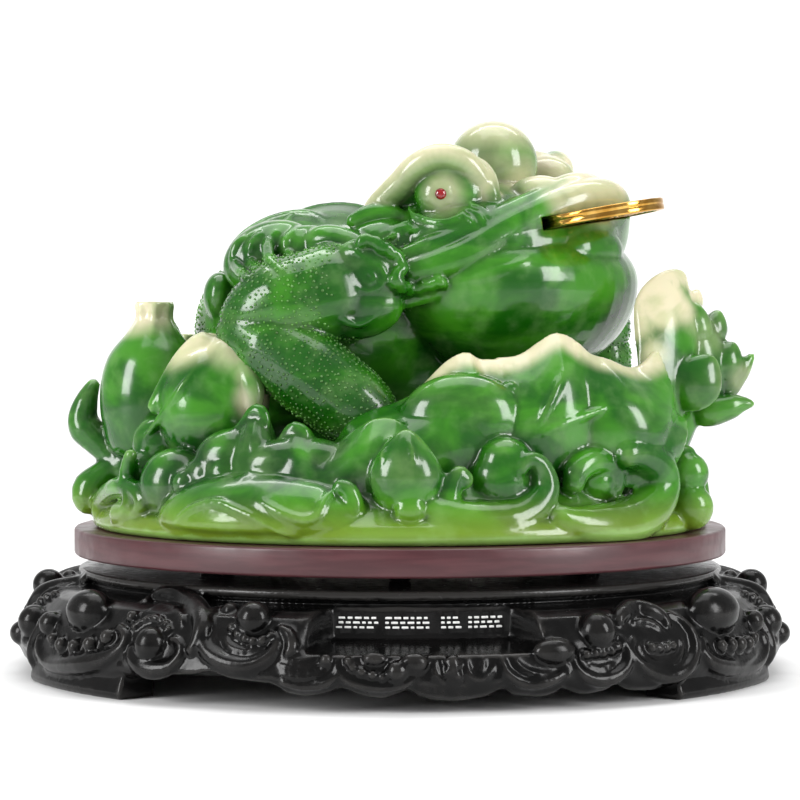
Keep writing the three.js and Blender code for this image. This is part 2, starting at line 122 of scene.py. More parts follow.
# The toad: one hollow casting in green resin, made here as a carver would, from masses, folds and ridges that
# are pressed together and then taken as one skin. Millimetres above the figure's own foot until it is cast.
FIGURE_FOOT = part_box("toad_figure")[0].z / MM
HEAD_AT = (46, 2)
HEAD_TURN = math.radians(-35)
MOUTH_HALF_WIDTH = 80
MOUTH_DEPTH = 62
MOUTH_ROUNDNESS = 1.35
RING_EVERY = 2.2  # along a bar of clay
NO_BAR_STARTS_THIS_WAY = (0.13, 0.21, 0.97)
RIM_SHARE = 0.55  # of a leaf's thickness left at its rim


def smooth_path(points, steps):
    """Evenly spaced points of a smooth curve through the given ones."""
    knots = np.array([points[0], *points, points[-1]], float)
    knots[0] = 2 * knots[1] - knots[2]
    knots[-1] = 2 * knots[-2] - knots[-3]
    fine = []
    for a, b, c, d in zip(knots, knots[1:], knots[2:], knots[3:]):
        for t in np.linspace(0, 1, 12, endpoint=False):
            fine.append(
                0.5 * (2 * b + (c - a) * t + (2 * a - 5 * b + 4 * c - d) * t**2 + (3 * b - a - 3 * c + d) * t**3)
            )
    fine.append(knots[-2])
    fine = np.array(fine)
    run = np.concatenate([[0], np.cumsum(np.linalg.norm(np.diff(fine, axis=0), axis=1))])
    even = np.linspace(0, run[-1], steps + 1)
    return np.stack([np.interp(even, run, fine[:, i]) for i in range(3)], axis=1), run[-1]


def press(lump, clay, matrix=None):
    """Adds a finished lump to the clay."""
    mesh = bpy.data.meshes.new("lump")
    lump.to_mesh(mesh)
    lump.free()
    if matrix is not None:
        mesh.transform(matrix)
    clay.from_mesh(mesh)
    bpy.data.meshes.remove(mesh)


def bar(clay, points, radii, sides=14, steps=None):
    """A round bar bent through points, as thick as the radii say, with rounded ends."""
    length = smooth_path(points, 8)[1]
    steps = steps or max(6, int(length / RING_EVERY))
    path = smooth_path(points, steps)[0]
    tangents = np.gradient(path, axis=0)
    tangents /= np.linalg.norm(tangents, axis=1)[:, None]
    side = np.cross(tangents[0], NO_BAR_STARTS_THIS_WAY)
    frames = []
    for tangent in tangents:
        side = side - tangent * side.dot(tangent)
        side /= np.linalg.norm(side)
        frames.append((side, np.cross(tangent, side)))
    girth = np.interp(np.linspace(0, 1, steps + 1), np.linspace(0, 1, len(radii)), radii)
    run = np.linspace(0, length, steps + 1)
    for end in (run, length - run):
        reach = np.clip(end / np.maximum(girth, 0.01), 0, 1)
        girth = girth * np.sqrt(np.clip(1 - (1 - reach) ** 2, 0, 1))
    lump = bmesh.new()
    for vert in bmesh.ops.create_uvsphere(lump, u_segments=sides, v_segments=steps, radius=1)["verts"]:
        step = round(math.acos(max(-1.0, min(1.0, vert.co.z))) / math.pi * steps)
        around = math.atan2(vert.co.y, vert.co.x)
        across, along = frames[step]
        vert.co = path[step] + girth[step] * (across * math.cos(around) + along * math.sin(around))
    press(lump, clay)


def egg(clay, centre, sizes, turns=(0, 0, 0), sides=28, point=0.0):
    """An egg with its own rise above and drop below its widest level, drawn in to a point above if it has one."""
    wide, deep, rise = sizes[:3]
    drop = sizes[3] if len(sizes) > 3 else rise
    turn = Euler([math.radians(a) for a in turns]).to_matrix()
    lump = bmesh.new()
    for vert in bmesh.ops.create_uvsphere(lump, u_segments=sides, v_segments=sides * 2 // 3, radius=1)["verts"]:
        x, y, z = vert.co
        draw = 1 - point * max(0.0, z) ** 1.5
        vert.co = turn @ Vector((x * wide * draw, y * deep * draw, z * (rise if z > 0 else drop))) + Vector(centre)
    press(lump, clay)


def sheet_of_clay(clay, foot, rim, belly, thickness, columns=44):
    """A leaf between a foot line and a rim line, bellied between them and thinner at its rim."""
    low = smooth_path(foot, columns)[0]
    high = smooth_path(rim, columns)[0]
    belly = np.array(belly, float)
    lump = bmesh.new()
    bmesh.ops.create_grid(lump, x_segments=columns, y_segments=20, size=0.5)
    raised = bmesh.ops.extrude_face_region(lump, geom=lump.faces[:])["geom"]
    bmesh.ops.translate(lump, vec=(0, 0, 1), verts=[v for v in raised if isinstance(v, bmesh.types.BMVert)])

    def at(a, b):
        """The middle of the leaf at a share of its length and of its height."""
        a = min(max(a, 0.0), 1.0)
        place = a * columns
        i = min(int(place), columns - 1)
        t = place - i
        bottom = low[i] * (1 - t) + low[i + 1] * t
        top = high[i] * (1 - t) + high[i + 1] * t
        bulge = math.sin(math.pi * b) * (0.45 + 0.55 * math.sin(math.pi * a))
        return bottom * (1 - b) + top * b + belly * bulge

    for vert in lump.verts:
        a = vert.co.x + 0.5
        b = vert.co.y + 0.5
        side = 0.5 if vert.co.z > 0.5 else -0.5
        out = np.cross(at(a + 0.03, b) - at(a - 0.03, b), at(a, b + 0.03) - at(a, b - 0.03))
        out /= max(np.linalg.norm(out), 1e-6)
        ease = 1 - (1 - RIM_SHARE) * max(0.0, (b - 0.7) / 0.3)
        vert.co = at(a, b) - out * side * thickness * ease
    press(lump, clay)


def turned_clay(clay, profile, centre=(0, 0, 0), steps=48, turns=(0, 0, 0), size=1.0):
    """A lathe-turned mass from radius and height pairs that start and end on the axis."""
    lump = bmesh.new()
    verts = [lump.verts.new((r * size, 0, h * size)) for r, h in profile]
    edges = [lump.edges.new(pair) for pair in zip(verts, verts[1:])]
    bmesh.ops.spin(
        lump, geom=verts + edges, axis=(0, 0, 1), cent=(0, 0, 0), angle=math.tau, steps=steps, use_merge=True,
    )
    bmesh.ops.remove_doubles(lump, verts=lump.verts, dist=0.0005)
    turn = Euler([math.radians(a) for a in turns]).to_matrix().to_4x4()
    press(lump, clay, Matrix.Translation(centre) @ turn)


def skin_of(clay, voxel, softness=3, limit=None, cut=None):
    """One closed skin round everything in the clay, less a cut, flat underneath, thinned to a number of triangles."""
    bmesh.ops.recalc_face_normals(clay, faces=clay.faces)
    mesh = bpy.data.meshes.new("clay")
    clay.to_mesh(mesh)
    work = bpy.data.objects.new("clay", mesh)
    scene.collection.objects.link(work)
    wrap = work.modifiers.new("wrap", "REMESH")
    wrap.mode = "VOXEL"
    wrap.voxel_size = voxel
    if cut:
        carve = work.modifiers.new("carve", "BOOLEAN")
        carve.operation = "DIFFERENCE"
        carve.solver = "MANIFOLD"
        carve.object = cut
    rub = work.modifiers.new("rub", "SMOOTH")
    rub.factor = 0.5
    rub.iterations = softness
    skin = bpy.data.meshes.new_from_object(work.evaluated_get(bpy.context.evaluated_depsgraph_get()))
    places = np.zeros(len(skin.vertices) * 3, np.float32)
    skin.vertices.foreach_get("co", places)
    places = places.reshape(-1, 3)
    places[:, 2] = np.maximum(places[:, 2], 0)
    skin.vertices.foreach_set("co", places.ravel())
    if limit:
        work.data = skin
        work.modifiers.clear()
        thin = work.modifiers.new("thin", "DECIMATE")
        thin.ratio = min(1.0, limit / (2 * len(skin.polygons)))
        skin = bpy.data.meshes.new_from_object(work.evaluated_get(bpy.context.evaluated_depsgraph_get()))
    bpy.data.objects.remove(work)
    return skin


def surface_of(skin):
    """Something to find places on a skin with."""
    net = bmesh.new()
    net.from_mesh(skin)
    tree = BVHTree.FromBMesh(net)
    net.free()
    return tree


def seen(tree, x, z, lift=0.0):
    """The point of the skin that the viewer sees through (x, z) of the upright plane through the axis."""
    eye = EYE / MM - Vector((0, 0, FIGURE_FOOT))
    towards = (Vector((x, 0, z - FIGURE_FOOT)) - eye).normalized()
    hit, normal, _, _ = tree.ray_cast(eye, towards)
    if hit is None:
        return None
    return hit + normal * lift


def ridge(clay, tree, places, radii, lift=0.0, sides=10):
    """A fine bar laid along the skin, through points as the viewer sees them."""
    points = [seen(tree, x, z, lift) for x, z in places]
    points = [tuple(p) for p in points if p is not None]
    if len(points) > 1:
        bar(clay, points, radii, sides=sides)


def on_ring(x, z, radius):
    """The point at a distance from the axis that the viewer sees through (x, z) of the same upright plane."""
    back = -EYE.y / MM
    slant = x * x + back * back
    inside = max(0.0, back**4 - slant * (back * back - radius * radius))
    t = (back * back - math.sqrt(inside)) / slant
    level = EYE.z / MM
    return (t * x, back * (t - 1), level + t * (z - level) - FIGURE_FOOT)


def lip(across, lift, ahead_more=0.0):
    """A point on the lip line, which runs round the head from one corner of the mouth to the other."""
    side = abs(across) / MOUTH_HALF_WIDTH
    ahead = MOUTH_DEPTH * max(0.0, 1 - side**MOUTH_ROUNDNESS) ** (1 / MOUTH_ROUNDNESS)
    return (ahead + ahead_more, across, 159 - 0.52 * abs(across) + lift)


EYE_LID = ((-7, 64, 156), (-3, 66, 151), (3, 66, 147.5), (10, 61, 147), (16, 54, 149), (19, 48, 154))
EYE_HOOD = (
    (21, 37, 152), (21, 43, 166), (16, 50, 175), (7, 58, 178), (-4, 62, 173), (-13, 62, 165), (-24, 63, 156),
    (-35, 64, 145),
)
masses = bmesh.new()

# The head in its own frame, looking along u: skull, dewlap and crown, then the two lips, then the eyes and brows
head = bmesh.new()
egg(head, (5, 0, 119), (65, 73, 34, 51), sides=48)
egg(head, (0, 0, 136), (61, 71, 33, 25), sides=40)
egg(head, (0, 0, 177), (22.5, 21, 22), sides=32)
lip_sides = [MOUTH_HALF_WIDTH * s for s in (-1, -0.8, -0.55, -0.32, -0.12, 0.12, 0.32, 0.55, 0.8, 1)]
bar(
    head, [lip(s, 7 if -50 < s < -20 else 4, -3 if -50 < s < -5 else 0) for s in lip_sides],
    [6, 8, 8.4, 8.4, 9.4, 10.5, 9.5, 9, 8, 6], sides=24,
)
bar(head, [lip(s, 9, -9) for s in lip_sides], [4, 8, 9, 9, 8, 8, 9, 9, 8, 4], sides=24)
bar(head, [lip(s, -20, -6) for s in lip_sides[2:-2]], [3, 8, 13, 13, 8, 3], sides=24)
bar(head, [lip(s, -10, -2) for s in lip_sides], [3, 4, 4, 4, 6, 6, 4, 4, 4, 3], sides=16)
for side in (-1, 1):
    egg(head, (4, side * 53, 160), (12, 12, 12), sides=32)
    egg(head, (4, side * 45, 161), (20, 15, 18), sides=32)
    back, lift = (4, 5) if side > 0 else (0, 2)
    brow = [(-38, 48, 136), (-26, 52, 150), (-10, 50, 163), (5, 44, 169), (18, 40, 166), (29, 42, 154)]
    bar(head, [(u - back, v * side, w + lift) for u, v, w in brow], [2, 7, 10, 11, 9, 3], sides=24)
    egg(head, (1 - 2 * back, side * 47, 170 + back), (18, 14, 13))
    bar(
        head, [(u - 2 * back, v * side, w + lift - 2) for u, v, w in EYE_HOOD], [2, 5.8, 6.6, 6.4, 6.4, 6.6, 6, 3.4],
        sides=24,
    )
    bar(head, [(u, v * side, w) for u, v, w in EYE_LID], [0.6, 1.5, 1.9, 1.9, 1.5, 0.6], sides=12)
    egg(head, (38, side * 18, 162), (15, 10, 8))
    egg(head, (-2, side * 76, 121), (7, 7, 9))
press(head, masses, Matrix.Translation((*HEAD_AT, 0)) @ Matrix.Rotation(HEAD_TURN, 4, "Z"))

# Trunk, rump and limbs
NEAR_THIGH = ([(-8, -50, 120), (-34, -60, 112), (-62, -64, 105), (-84, -62, 96)], [18, 24, 22, 10])
NEAR_SHIN = ([(-86, -60, 96), (-70, -66, 92), (-46, -74, 78), (-22, -80, 60), (-2, -84, 44)], [10, 18, 20, 19, 12])
FAR_UPPER_ARM = ([(50, 50, 124), (78, 62, 116), (100, 62, 104), (110, 54, 84)], [20, 20, 16, 12])
FAR_FOREARM = ([(108, 58, 96), (104, 62, 74), (98, 60, 52)], [12, 15, 12])
FAR_HIND_LEG = ([(-64, 30, 106), (-76, 50, 96), (-74, 70, 78), (-60, 84, 58)], [20, 20, 18, 12])
egg(masses, (-24, 6, 98), (70, 62, 50, 60), sides=40)
egg(masses, (-72, 14, 96), (30, 46, 34, 50))
bar(masses, *NEAR_THIGH, sides=24)
bar(masses, *NEAR_SHIN, sides=24)
egg(masses, (-17, -69, 119), (18, 9, 20))
egg(masses, (-6, -42, 136), (22, 15, 13))
egg(masses, (-22, -66, 108), (24, 12.5, 17))
bar(
    masses, [(-46, -75, 112), (-37, -77, 109), (-28, -78, 102), (-20, -77, 98), (-12, -75, 102), (-6, -73, 110)],
    [4, 5, 3, 1.8, 1.8, 1.2],
)
bar(masses, *FAR_UPPER_ARM, sides=22)
bar(masses, *FAR_FOREARM, sides=20)
bar(masses, *FAR_HIND_LEG, sides=22)
egg(masses, (-85, 6, 104), (12, 20, 22))

# The coins on its back, thick discs with raised rims that lean on the trunk, and the drape's rolls beside them
DRAPE_ROLL = [(-50, -40, 133), (-35, -47, 137), (-23, -52, 134), (-12, -58, 130)]
coin_section = [
    (0, -6), (0.7, -5), (0.95, -2), (1, 0.6), (0.97, 2.6), (0.9, 3.6), (0.82, 3.2), (0.7, 3.4), (0.4, 4.4), (0, 5),
]
back_coins = (((-59, -18, 136), 28, 34, -22), ((-33, -14, 146), 25, 26, -4), ((-60, 26, 134), 25, -26, -24))
for centre, radius, tip, lean in back_coins:
    turned_clay(masses, [(r * radius, h) for r, h in coin_section], centre, turns=(tip, lean, 0))
egg(masses, (-62, -32, 130), (24, 16, 18), (0, -20, 0), sides=32)
egg(masses, (-44, -38, 131), (22, 14, 15), sides=32)
bar(masses, DRAPE_ROLL, [5, 9, 9, 6], sides=24)
bar(masses, [(-26, -44, 146), (-14, -42, 151), (-2, -40, 150), (10, -38, 144)], [3, 5, 5, 3])
egg(masses, (-88, -16, 112), (8, 12, 12))

# Folds, wrinkles and the rope's links, laid on the masses where the viewer sees them
bare_toad = surface_of(skin_of(masses.copy(), voxel=2.0))
for fold in (
    [(-13, 210), (-3, 214), (8, 217)],
    [(-12, 208), (-2, 212), (10, 215)],
    [(-11, 212), (-2, 216), (7, 220)],
    [(31, 226), (39, 222), (42, 216)],
    [(33, 228), (40, 225), (44, 220)],
    [(29, 224), (35, 219), (38, 215)],
):
    ridge(masses, bare_toad, fold, [0.6, 1.3, 0.7], lift=0.1)
ridge(masses, bare_toad, [(7, 223), (13, 219), (21, 218), (28, 220), (32, 225)], [1, 2, 2.2, 2, 1])
ridge(masses, bare_toad, [(16, 187), (35, 190), (58, 197), (80, 207)], [1.5, 4, 4, 1.5], lift=-3.0, sides=16)
for arc in (
    [(-75, 212), (-81, 206), (-81, 197), (-75, 190)],
    [(-67, 214), (-73, 207), (-73, 198), (-66, 191)],
    [(-59, 215), (-65, 208), (-64, 199), (-57, 193)],
    [(-51, 215), (-56, 209), (-55, 202), (-49, 196)],
):
    ridge(masses, bare_toad, arc, [1.4, 3, 3, 1.4], lift=0.2, sides=14)
ridge(masses, bare_toad, [(-46, 206), (-34, 207), (-24, 204), (-14, 199)], [0.8, 1.5, 1.5, 0.8])
for turn in (
    [(-22, 198), (-14, 199), (-8, 194), (-9, 187), (-16, 184), (-23, 187)],
    [(-18, 194), (-14, 193), (-13, 189), (-17, 188)],
):
    ridge(masses, bare_toad, turn, [0.6, 1.3, 1.3, 0.6], lift=-0.2)
chain = [
    (-20, 207), (-15, 208), (-10, 205), (-6, 203), (-2, 199), (-1, 194), (-4, 190), (-1, 187), (5, 185), (11, 187),
    (16, 189), (21, 190),
]
rope = [seen(bare_toad, x, z, 2.0) for x, z in chain]
rope = smooth_path([tuple(p) for p in rope if p is not None], 22)[0]
for i, (start, end) in enumerate(zip(rope, rope[1:])):
    along = Vector(end) - Vector(start)
    tilt = math.degrees(math.atan2(along.z, along.x))
    twist = 38 if i % 2 else -38
    egg(masses, (Vector(start) + Vector(end)) / 2, (4.2, 3.5, 3.1), (0, -tilt + twist, 0), sides=14)

# The slot between the lips that the coin rests in, open towards the front
COIN_AT = (97, -42, 151)
COIN_TILT = -10
SLOT_RADIUS = 30.2
SLOT_HALF_GAP = 3.3
slot = bmesh.new()
outline = [(SLOT_RADIUS * math.cos(math.pi * i / 24), SLOT_RADIUS * math.sin(math.pi * i / 24)) for i in range(25)]
outline += [(-SLOT_RADIUS, -46), (SLOT_RADIUS, -46)]
face = slot.faces.new([slot.verts.new((x, y, -SLOT_HALF_GAP)) for x, y in outline])
raised = bmesh.ops.extrude_face_region(slot, geom=[face])["geom"]
bmesh.ops.translate(slot, vec=(0, 0, 2 * SLOT_HALF_GAP), verts=[v for v in raised if isinstance(v, bmesh.types.BMVert)])
bmesh.ops.recalc_face_normals(slot, faces=slot.faces)
slot_mesh = bpy.data.meshes.new("coin_slot")
slot.to_mesh(slot_mesh)
slot.free()
slot_mesh.transform(Matrix.Translation(COIN_AT) @ Matrix.Rotation(math.radians(COIN_TILT), 4, "Y"))
cutter = bpy.data.objects.new("coin_slot", slot_mesh)
scene.collection.objects.link(cutter)

toad_skin = skin_of(masses, voxel=1.0, softness=3, limit=190000, cut=cutter)
bpy.data.objects.remove(cutter)


# The resin's colour: green that pales to cream where the casting is thin or high, and yellows low down, with painted
# shade darkening its hollows and painted light paling its raised places. Each casting carries how much of each as an
# attribute, worked out from its own shape.
YELLOW_BELOW = 28.0


def shallow_and_deep(mesh, rounds):
    """How far each point stands out of (above 0) or lies in (below 0) its surroundings, in millimetres."""
    count = len(mesh.vertices)
    places = np.zeros(count * 3, np.float32)
    mesh.vertices.foreach_get("co", places)
    places = places.reshape(-1, 3).astype(float)
    normals = np.zeros(count * 3, np.float32)
    mesh.vertex_normals.foreach_get("vector", normals)
    normals = normals.reshape(-1, 3)
    ends = np.zeros(len(mesh.edges) * 2, np.int32)
    mesh.edges.foreach_get("vertices", ends)
    ends = ends.reshape(-1, 2)
    shared = np.bincount(ends.ravel(), minlength=count).clip(1)
    eased = places.copy()
    for _ in range(rounds):
        total = np.zeros_like(eased)
        for axis in range(3):
            total[:, axis] = np.bincount(ends[:, 0], eased[ends[:, 1], axis], count)
            total[:, axis] += np.bincount(ends[:, 1], eased[ends[:, 0], axis], count)
        eased = eased * 0.4 + 0.6 * total / shared[:, None]
    return np.einsum("ij,ij->i", places - eased, normals), places


def tint_and_shade(mesh, spots, shade, rounds):
    """Writes cream, yellow, and painted light and shade (hollows darker, raised places paler) into the attribute that
    the resin reads. Spots are x, y, z, reach and strength, below 0 for a dark one."""
    relief, places = shallow_and_deep(mesh, rounds)
    cream = np.zeros(len(places))
    dark = np.zeros(len(places))
    for x, y, z, reach, strength in np.array(spots, float):
        away = np.linalg.norm(places - (x, y, z), axis=1) / reach
        near = np.clip(1.35 - away, 0, 1) ** 1.3
        cream = np.maximum(cream, strength * near)
        dark = np.maximum(dark, -strength * near)
    yellow = np.clip((YELLOW_BELOW - places[:, 2]) / YELLOW_BELOW, 0, 1)
    light_and_shade = np.clip(0.5 - shade - dark + relief * 0.22, 0, 1)
    values = np.stack([cream, yellow, light_and_shade, np.ones(len(places))], axis=1).astype(np.float32)
    colour = mesh.color_attributes.new("tint_and_shade", "FLOAT_COLOR", "POINT")
    colour.data.foreach_set("color", values.ravel())


def srgb(r, g, b):
    """A paint colour as the shader wants it."""
    return (*[(c / 255 / 12.92 if c < 10.3 else ((c / 255 + 0.055) / 1.055) ** 2.4) for c in (r, g, b)], 1)


def mixed(nodes, links, share, first, second):
    """A mix of two colours or sockets by a share, which is a number or a socket."""
    mix = nodes.new("ShaderNodeMix")
    mix.data_type = "RGBA"
    for socket, value in ((mix.inputs[0], share), (mix.inputs[6], first), (mix.inputs[7], second)):
        if isinstance(value, bpy.types.NodeSocket):
            links.new(value, socket)
        else:
            socket.default_value = value
    return mix.outputs[2]


def spread(nodes, links, value, low, high, to_low=0.0, to_high=1.0):
    """A value's range taken to another range."""
    node = nodes.new("ShaderNodeMapRange")
    node.interpolation_type = "SMOOTHSTEP"
    node.inputs["From Min"].default_value = low
    node.inputs["From Max"].default_value = high
    node.inputs["To Min"].default_value = to_low
    node.inputs["To Max"].default_value = to_high
    links.new(value, node.inputs["Value"])
    return node.outputs["Result"]


def clouds(nodes, links, scale, detail=3.0, stretch=(1, 1, 1), distortion=0.0):
    """Noise in the piece's own frame."""
    place = nodes.new("ShaderNodeTexCoord")
    turn = nodes.new("ShaderNodeMapping")
    turn.inputs["Scale"].default_value = stretch
    links.new(place.outputs["Object"], turn.inputs["Vector"])
    noise = nodes.new("ShaderNodeTexNoise")
    noise.inputs["Scale"].default_value = scale
    noise.inputs["Detail"].default_value = detail
    noise.inputs["Distortion"].default_value = distortion
    links.new(turn.outputs["Vector"], noise.inputs["Vector"])
    return noise.outputs["Fac"]


def held_in(nodes, links, name):
    """The red, green and blue that a casting holds in an attribute."""
    attribute = nodes.new("ShaderNodeAttribute")
    attribute.attribute_name = name
    parts = nodes.new("ShaderNodeSeparateColor")
    links.new(attribute.outputs["Color"], parts.inputs["Color"])
    return parts.outputs


def uneven(nodes, links, shader, noise, strength, distance):
    """Gives a shader the faint unevenness of its surface."""
    bump = nodes.new("ShaderNodeBump")
    bump.inputs["Strength"].default_value = strength
    bump.inputs["Distance"].default_value = distance
    links.new(noise, bump.inputs["Height"])
    links.new(bump.outputs["Normal"], shader.inputs["Normal"])


resin, nodes, links, shader = new_finish("green_resin")
shares = held_in(nodes, links, "tint_and_shade")
marble = clouds(nodes, links, 26, 4, stretch=(1, 1, 1.6), distortion=0.8)
fine = clouds(nodes, links, 90, 3)
yellowed = spread(nodes, links, shares["Green"], 0.1, 1.0, 0, 0.85)
# The attribute's blue is painted light and shade: the green darkens towards painted shade in hollows and at the dark
# spots, and pales as a painted highlight on raised places and on the warts.
painted_shade_share = spread(nodes, links, shares["Blue"], 0.5, 0.16, 0, 0.68)
painted_light_share = spread(nodes, links, shares["Blue"], 0.58, 1.0, 0, 0.6)
creamed = spread(nodes, links, shares["Red"], 0.15, 0.85)
green = mixed(nodes, links, spread(nodes, links, marble, 0.38, 0.64), srgb(20, 84, 8), srgb(58, 128, 24))
green = mixed(nodes, links, yellowed, green, srgb(116, 140, 38))
green = mixed(nodes, links, painted_shade_share, green, srgb(12, 48, 14))
green = mixed(nodes, links, painted_light_share, green, srgb(140, 184, 100))
veiled = mixed(nodes, links, spread(nodes, links, fine, 0.45, 0.75, 0, 0.12), green, srgb(160, 196, 130))
cream = mixed(nodes, links, spread(nodes, links, marble, 0.4, 0.6), srgb(190, 191, 150), srgb(212, 204, 172))
links.new(mixed(nodes, links, creamed, veiled, cream), shader.inputs["Base Color"])
shader.inputs["Subsurface Weight"].default_value = 0.12
shader.inputs["Subsurface Radius"].default_value = (0.5, 1.0, 0.3)
shader.inputs["Subsurface Scale"].default_value = 0.006
shader.inputs["Roughness"].default_value = 0.2
shader.inputs["Specular IOR Level"].default_value = 0.4
shader.inputs["Coat Weight"].default_value = 0.3
shader.inputs["Coat Roughness"].default_value = 0.03
uneven(nodes, links, shader, clouds(nodes, links, 150, 2), strength=0.08, distance=0.0006)


def in_head(u, v, w):
    """A place in the head's own frame, as a place in the figure's."""
    turned = Matrix.Rotation(HEAD_TURN, 3, "Z") @ Vector((u, v, w))
    return (turned.x + HEAD_AT[0], turned.y + HEAD_AT[1], turned.z)


def along_bar(points, radii, steps=14):
    """Centres and radii along a limb, to say what lies on it."""
    girth = np.interp(np.linspace(0, 1, steps + 1), np.linspace(0, 1, len(radii)), radii)
    return [(*p, r) for p, r in zip(smooth_path(points, steps)[0], girth)]


# Where the head, the lips and the hoods turn cream, and the limbs dark
limbs = [
    spot
    for limb in (NEAR_THIGH, NEAR_SHIN, FAR_UPPER_ARM, FAR_FOREARM, FAR_HIND_LEG) for spot in along_bar(*limb)
]
toad_spots = [(x, y, z, r + 5, -0.2) for x, y, z, r in limbs]
# Painted shade low on the trunk's near side and under the head.
toad_spots += [(-24, -40, 62, 30, -0.4), (20, -50, 78, 16, -0.25)]
for across in range(-24, 25, 6):
    toad_spots.append((*in_head(*lip(across, 9)), 17 - abs(across) * 0.15, 1.0 - abs(across) / 70))
hood = smooth_path(EYE_HOOD, 30)[0]
for side in (-1, 1):
    for i, (u, v, w) in enumerate(hood):
        toad_spots.append((*in_head(u, v * side, w + 3), 10, 0.95 if i < 20 else 0.95 - 0.03 * (i - 20)))
    toad_spots.append((*in_head(12, side * 62, 161), 17, 0.5))
for u, v, w, reach, strength in (
    (0, 0, 192, 28, 0.85), (8, -14, 168, 34, 0.45), (30, -8, 164, 30, 0.62), (54, 0, 164, 24, 1.0),
    (40, -16, 166, 18, 0.8), (6, 34, 182, 20, 1.0), (14, 30, 176, 18, 0.9), (6, -48, 182, 14, 0.9),
    (18, -42, 178, 13, 0.8),
):
    toad_spots.append((*in_head(u, v, w), reach, strength))


def finished(mesh, name, body, node, material):
    """A piece in its place: in metres, in its material, riding on its body, and standing for its CAD node."""
    mesh.transform(Matrix.Scale(MM, 4))
    mesh.name = name
    mesh.materials.clear()
    mesh.materials.append(material)
    piece = bpy.data.objects.new(name, mesh)
    scene.collection.objects.link(piece)
    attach(piece, body)
    if node:
        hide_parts(node)


def cast(skin, name, spots, shade=0.0, rounds=24):
    """A finished part of the green casting, in its place on the board."""
    tint_and_shade(skin, spots, shade, rounds)
    skin.transform(Matrix.Translation((0, 0, FIGURE_FOOT)))
    skin.shade_smooth()
    finished(skin, name, "turntable", "toad_figure", resin)


cast(toad_skin, "toad_casting", toad_spots, shade=0.1)


# The warts: low domes that stand close together on the legs and the flanks, and leave the folds, the rope and the
# coins free. They are cast with the figure, in the same resin, painted paler than the skin round them: a painted
# highlight.
WART_PITCH = 2.35
WART_TRIES = 40000
dice = random.Random(7)
warty = [*limbs, (-72, 14, 96, 44)]
smooth = [
    (-17, -72, 119, 17),
    (-25, -72, 106, 12),
    *along_bar(
        [(-45, -76, 112), (-36, -78, 108), (-27, -79, 101), (-20, -79, 97), (-12, -77, 101), (-6, -74, 110)],
        [4, 5, 4, 3, 3, 3],
    ),
    (-64, -34, 131, 19),
    *along_bar(DRAPE_ROLL, [8, 11, 10, 7]),
    *[(*point, 6) for point in rope],
    *[(*centre, radius + 1) for centre, radius, _, _ in back_coins],
    (-88, -16, 112, 13),
]
face_centres = np.zeros(len(toad_skin.polygons) * 3, np.float32)
toad_skin.polygons.foreach_get("center", face_centres)
face_centres = face_centres.reshape(-1, 3) / MM - (0, 0, FIGURE_FOOT)


def nearest(balls):
    """How far each face of the toad is from the nearest of some balls."""
    return np.min([np.linalg.norm(face_centres - ball[:3], axis=1) - ball[3] for ball in np.array(balls)], axis=0)


chosen = np.nonzero((nearest(warty) < 2.5) & (nearest(smooth) > 2.0) & (face_centres[:, 2] > 14))[0]
areas = np.zeros(len(toad_skin.polygons), np.float32)
toad_skin.polygons.foreach_get("area", areas)
weights = np.cumsum(areas[chosen])
taken = {}
warts = bmesh.new()
dome = bpy.data.meshes.new("dome")
lump = bmesh.new()
bmesh.ops.create_uvsphere(lump, u_segments=6, v_segments=3, radius=1)
ball = lump.verts[:] + lump.edges[:] + lump.faces[:]
bmesh.ops.bisect_plane(lump, geom=ball, dist=0.0001, plane_co=(0, 0, -0.35), plane_no=(0, 0, 1), clear_inner=True)
bmesh.ops.holes_fill(lump, edges=lump.edges[:])
lump.to_mesh(dome)
lump.free()
for _ in range(WART_TRIES):
    face = chosen[int(np.searchsorted(weights, dice.random() * weights[-1]))]
    spot = face_centres[face]
    cell = tuple(int(c // WART_PITCH) for c in spot)
    close = [
        taken[(cell[0] + i, cell[1] + j, cell[2] + k)]
        for i in (-1, 0, 1)
        for j in (-1, 0, 1)
        for k in (-1, 0, 1)
        if (cell[0] + i, cell[1] + j, cell[2] + k) in taken
    ]
    if any(np.linalg.norm(spot - other) < WART_PITCH * 0.92 for other in close):
        continue
    taken[cell] = spot
    radius = dice.choice((0.5, 0.6, 0.7, 0.85))
    normal = Vector(toad_skin.polygons[int(face)].normal)
    turn = normal.to_track_quat("Z", "Y").to_matrix().to_4x4()
    place = Matrix.Translation(Vector(spot) + normal * 0.05) @ turn @ Matrix.Diagonal((radius, radius, radius * 0.8, 1))
    wart = dome.copy()
    wart.transform(place)
    warts.from_mesh(wart)
    bpy.data.meshes.remove(wart)
wart_mesh = bpy.data.meshes.new("toad_warts")
warts.to_mesh(wart_mesh)
warts.free()
# shade=-0.3 paints the warts paler all over, a painted highlight.
cast(wart_mesh, "toad_warts", toad_spots, shade=-0.3, rounds=0)


# The growth round the toad: lotus leaves, pods, a bud, a flower and curling waves on a swelling sea. It is one
# casting with the toad, and its leaf rims are thin enough to look cream.
PODS = (((-122, -22, 0), 1.0), ((-112, 48, 0), 0.86))
growth = bmesh.new()
sea = [(0, 0), (149, 0), (151, 2), (151, 5), (149, 8.5), (144, 12), (138, 17), (131, 25), (122, 31), (108, 35), (0, 38)]
turned_clay(growth, sea, steps=120)
egg(growth, (0, 6, 12), (136, 118, 50, 10), sides=60)

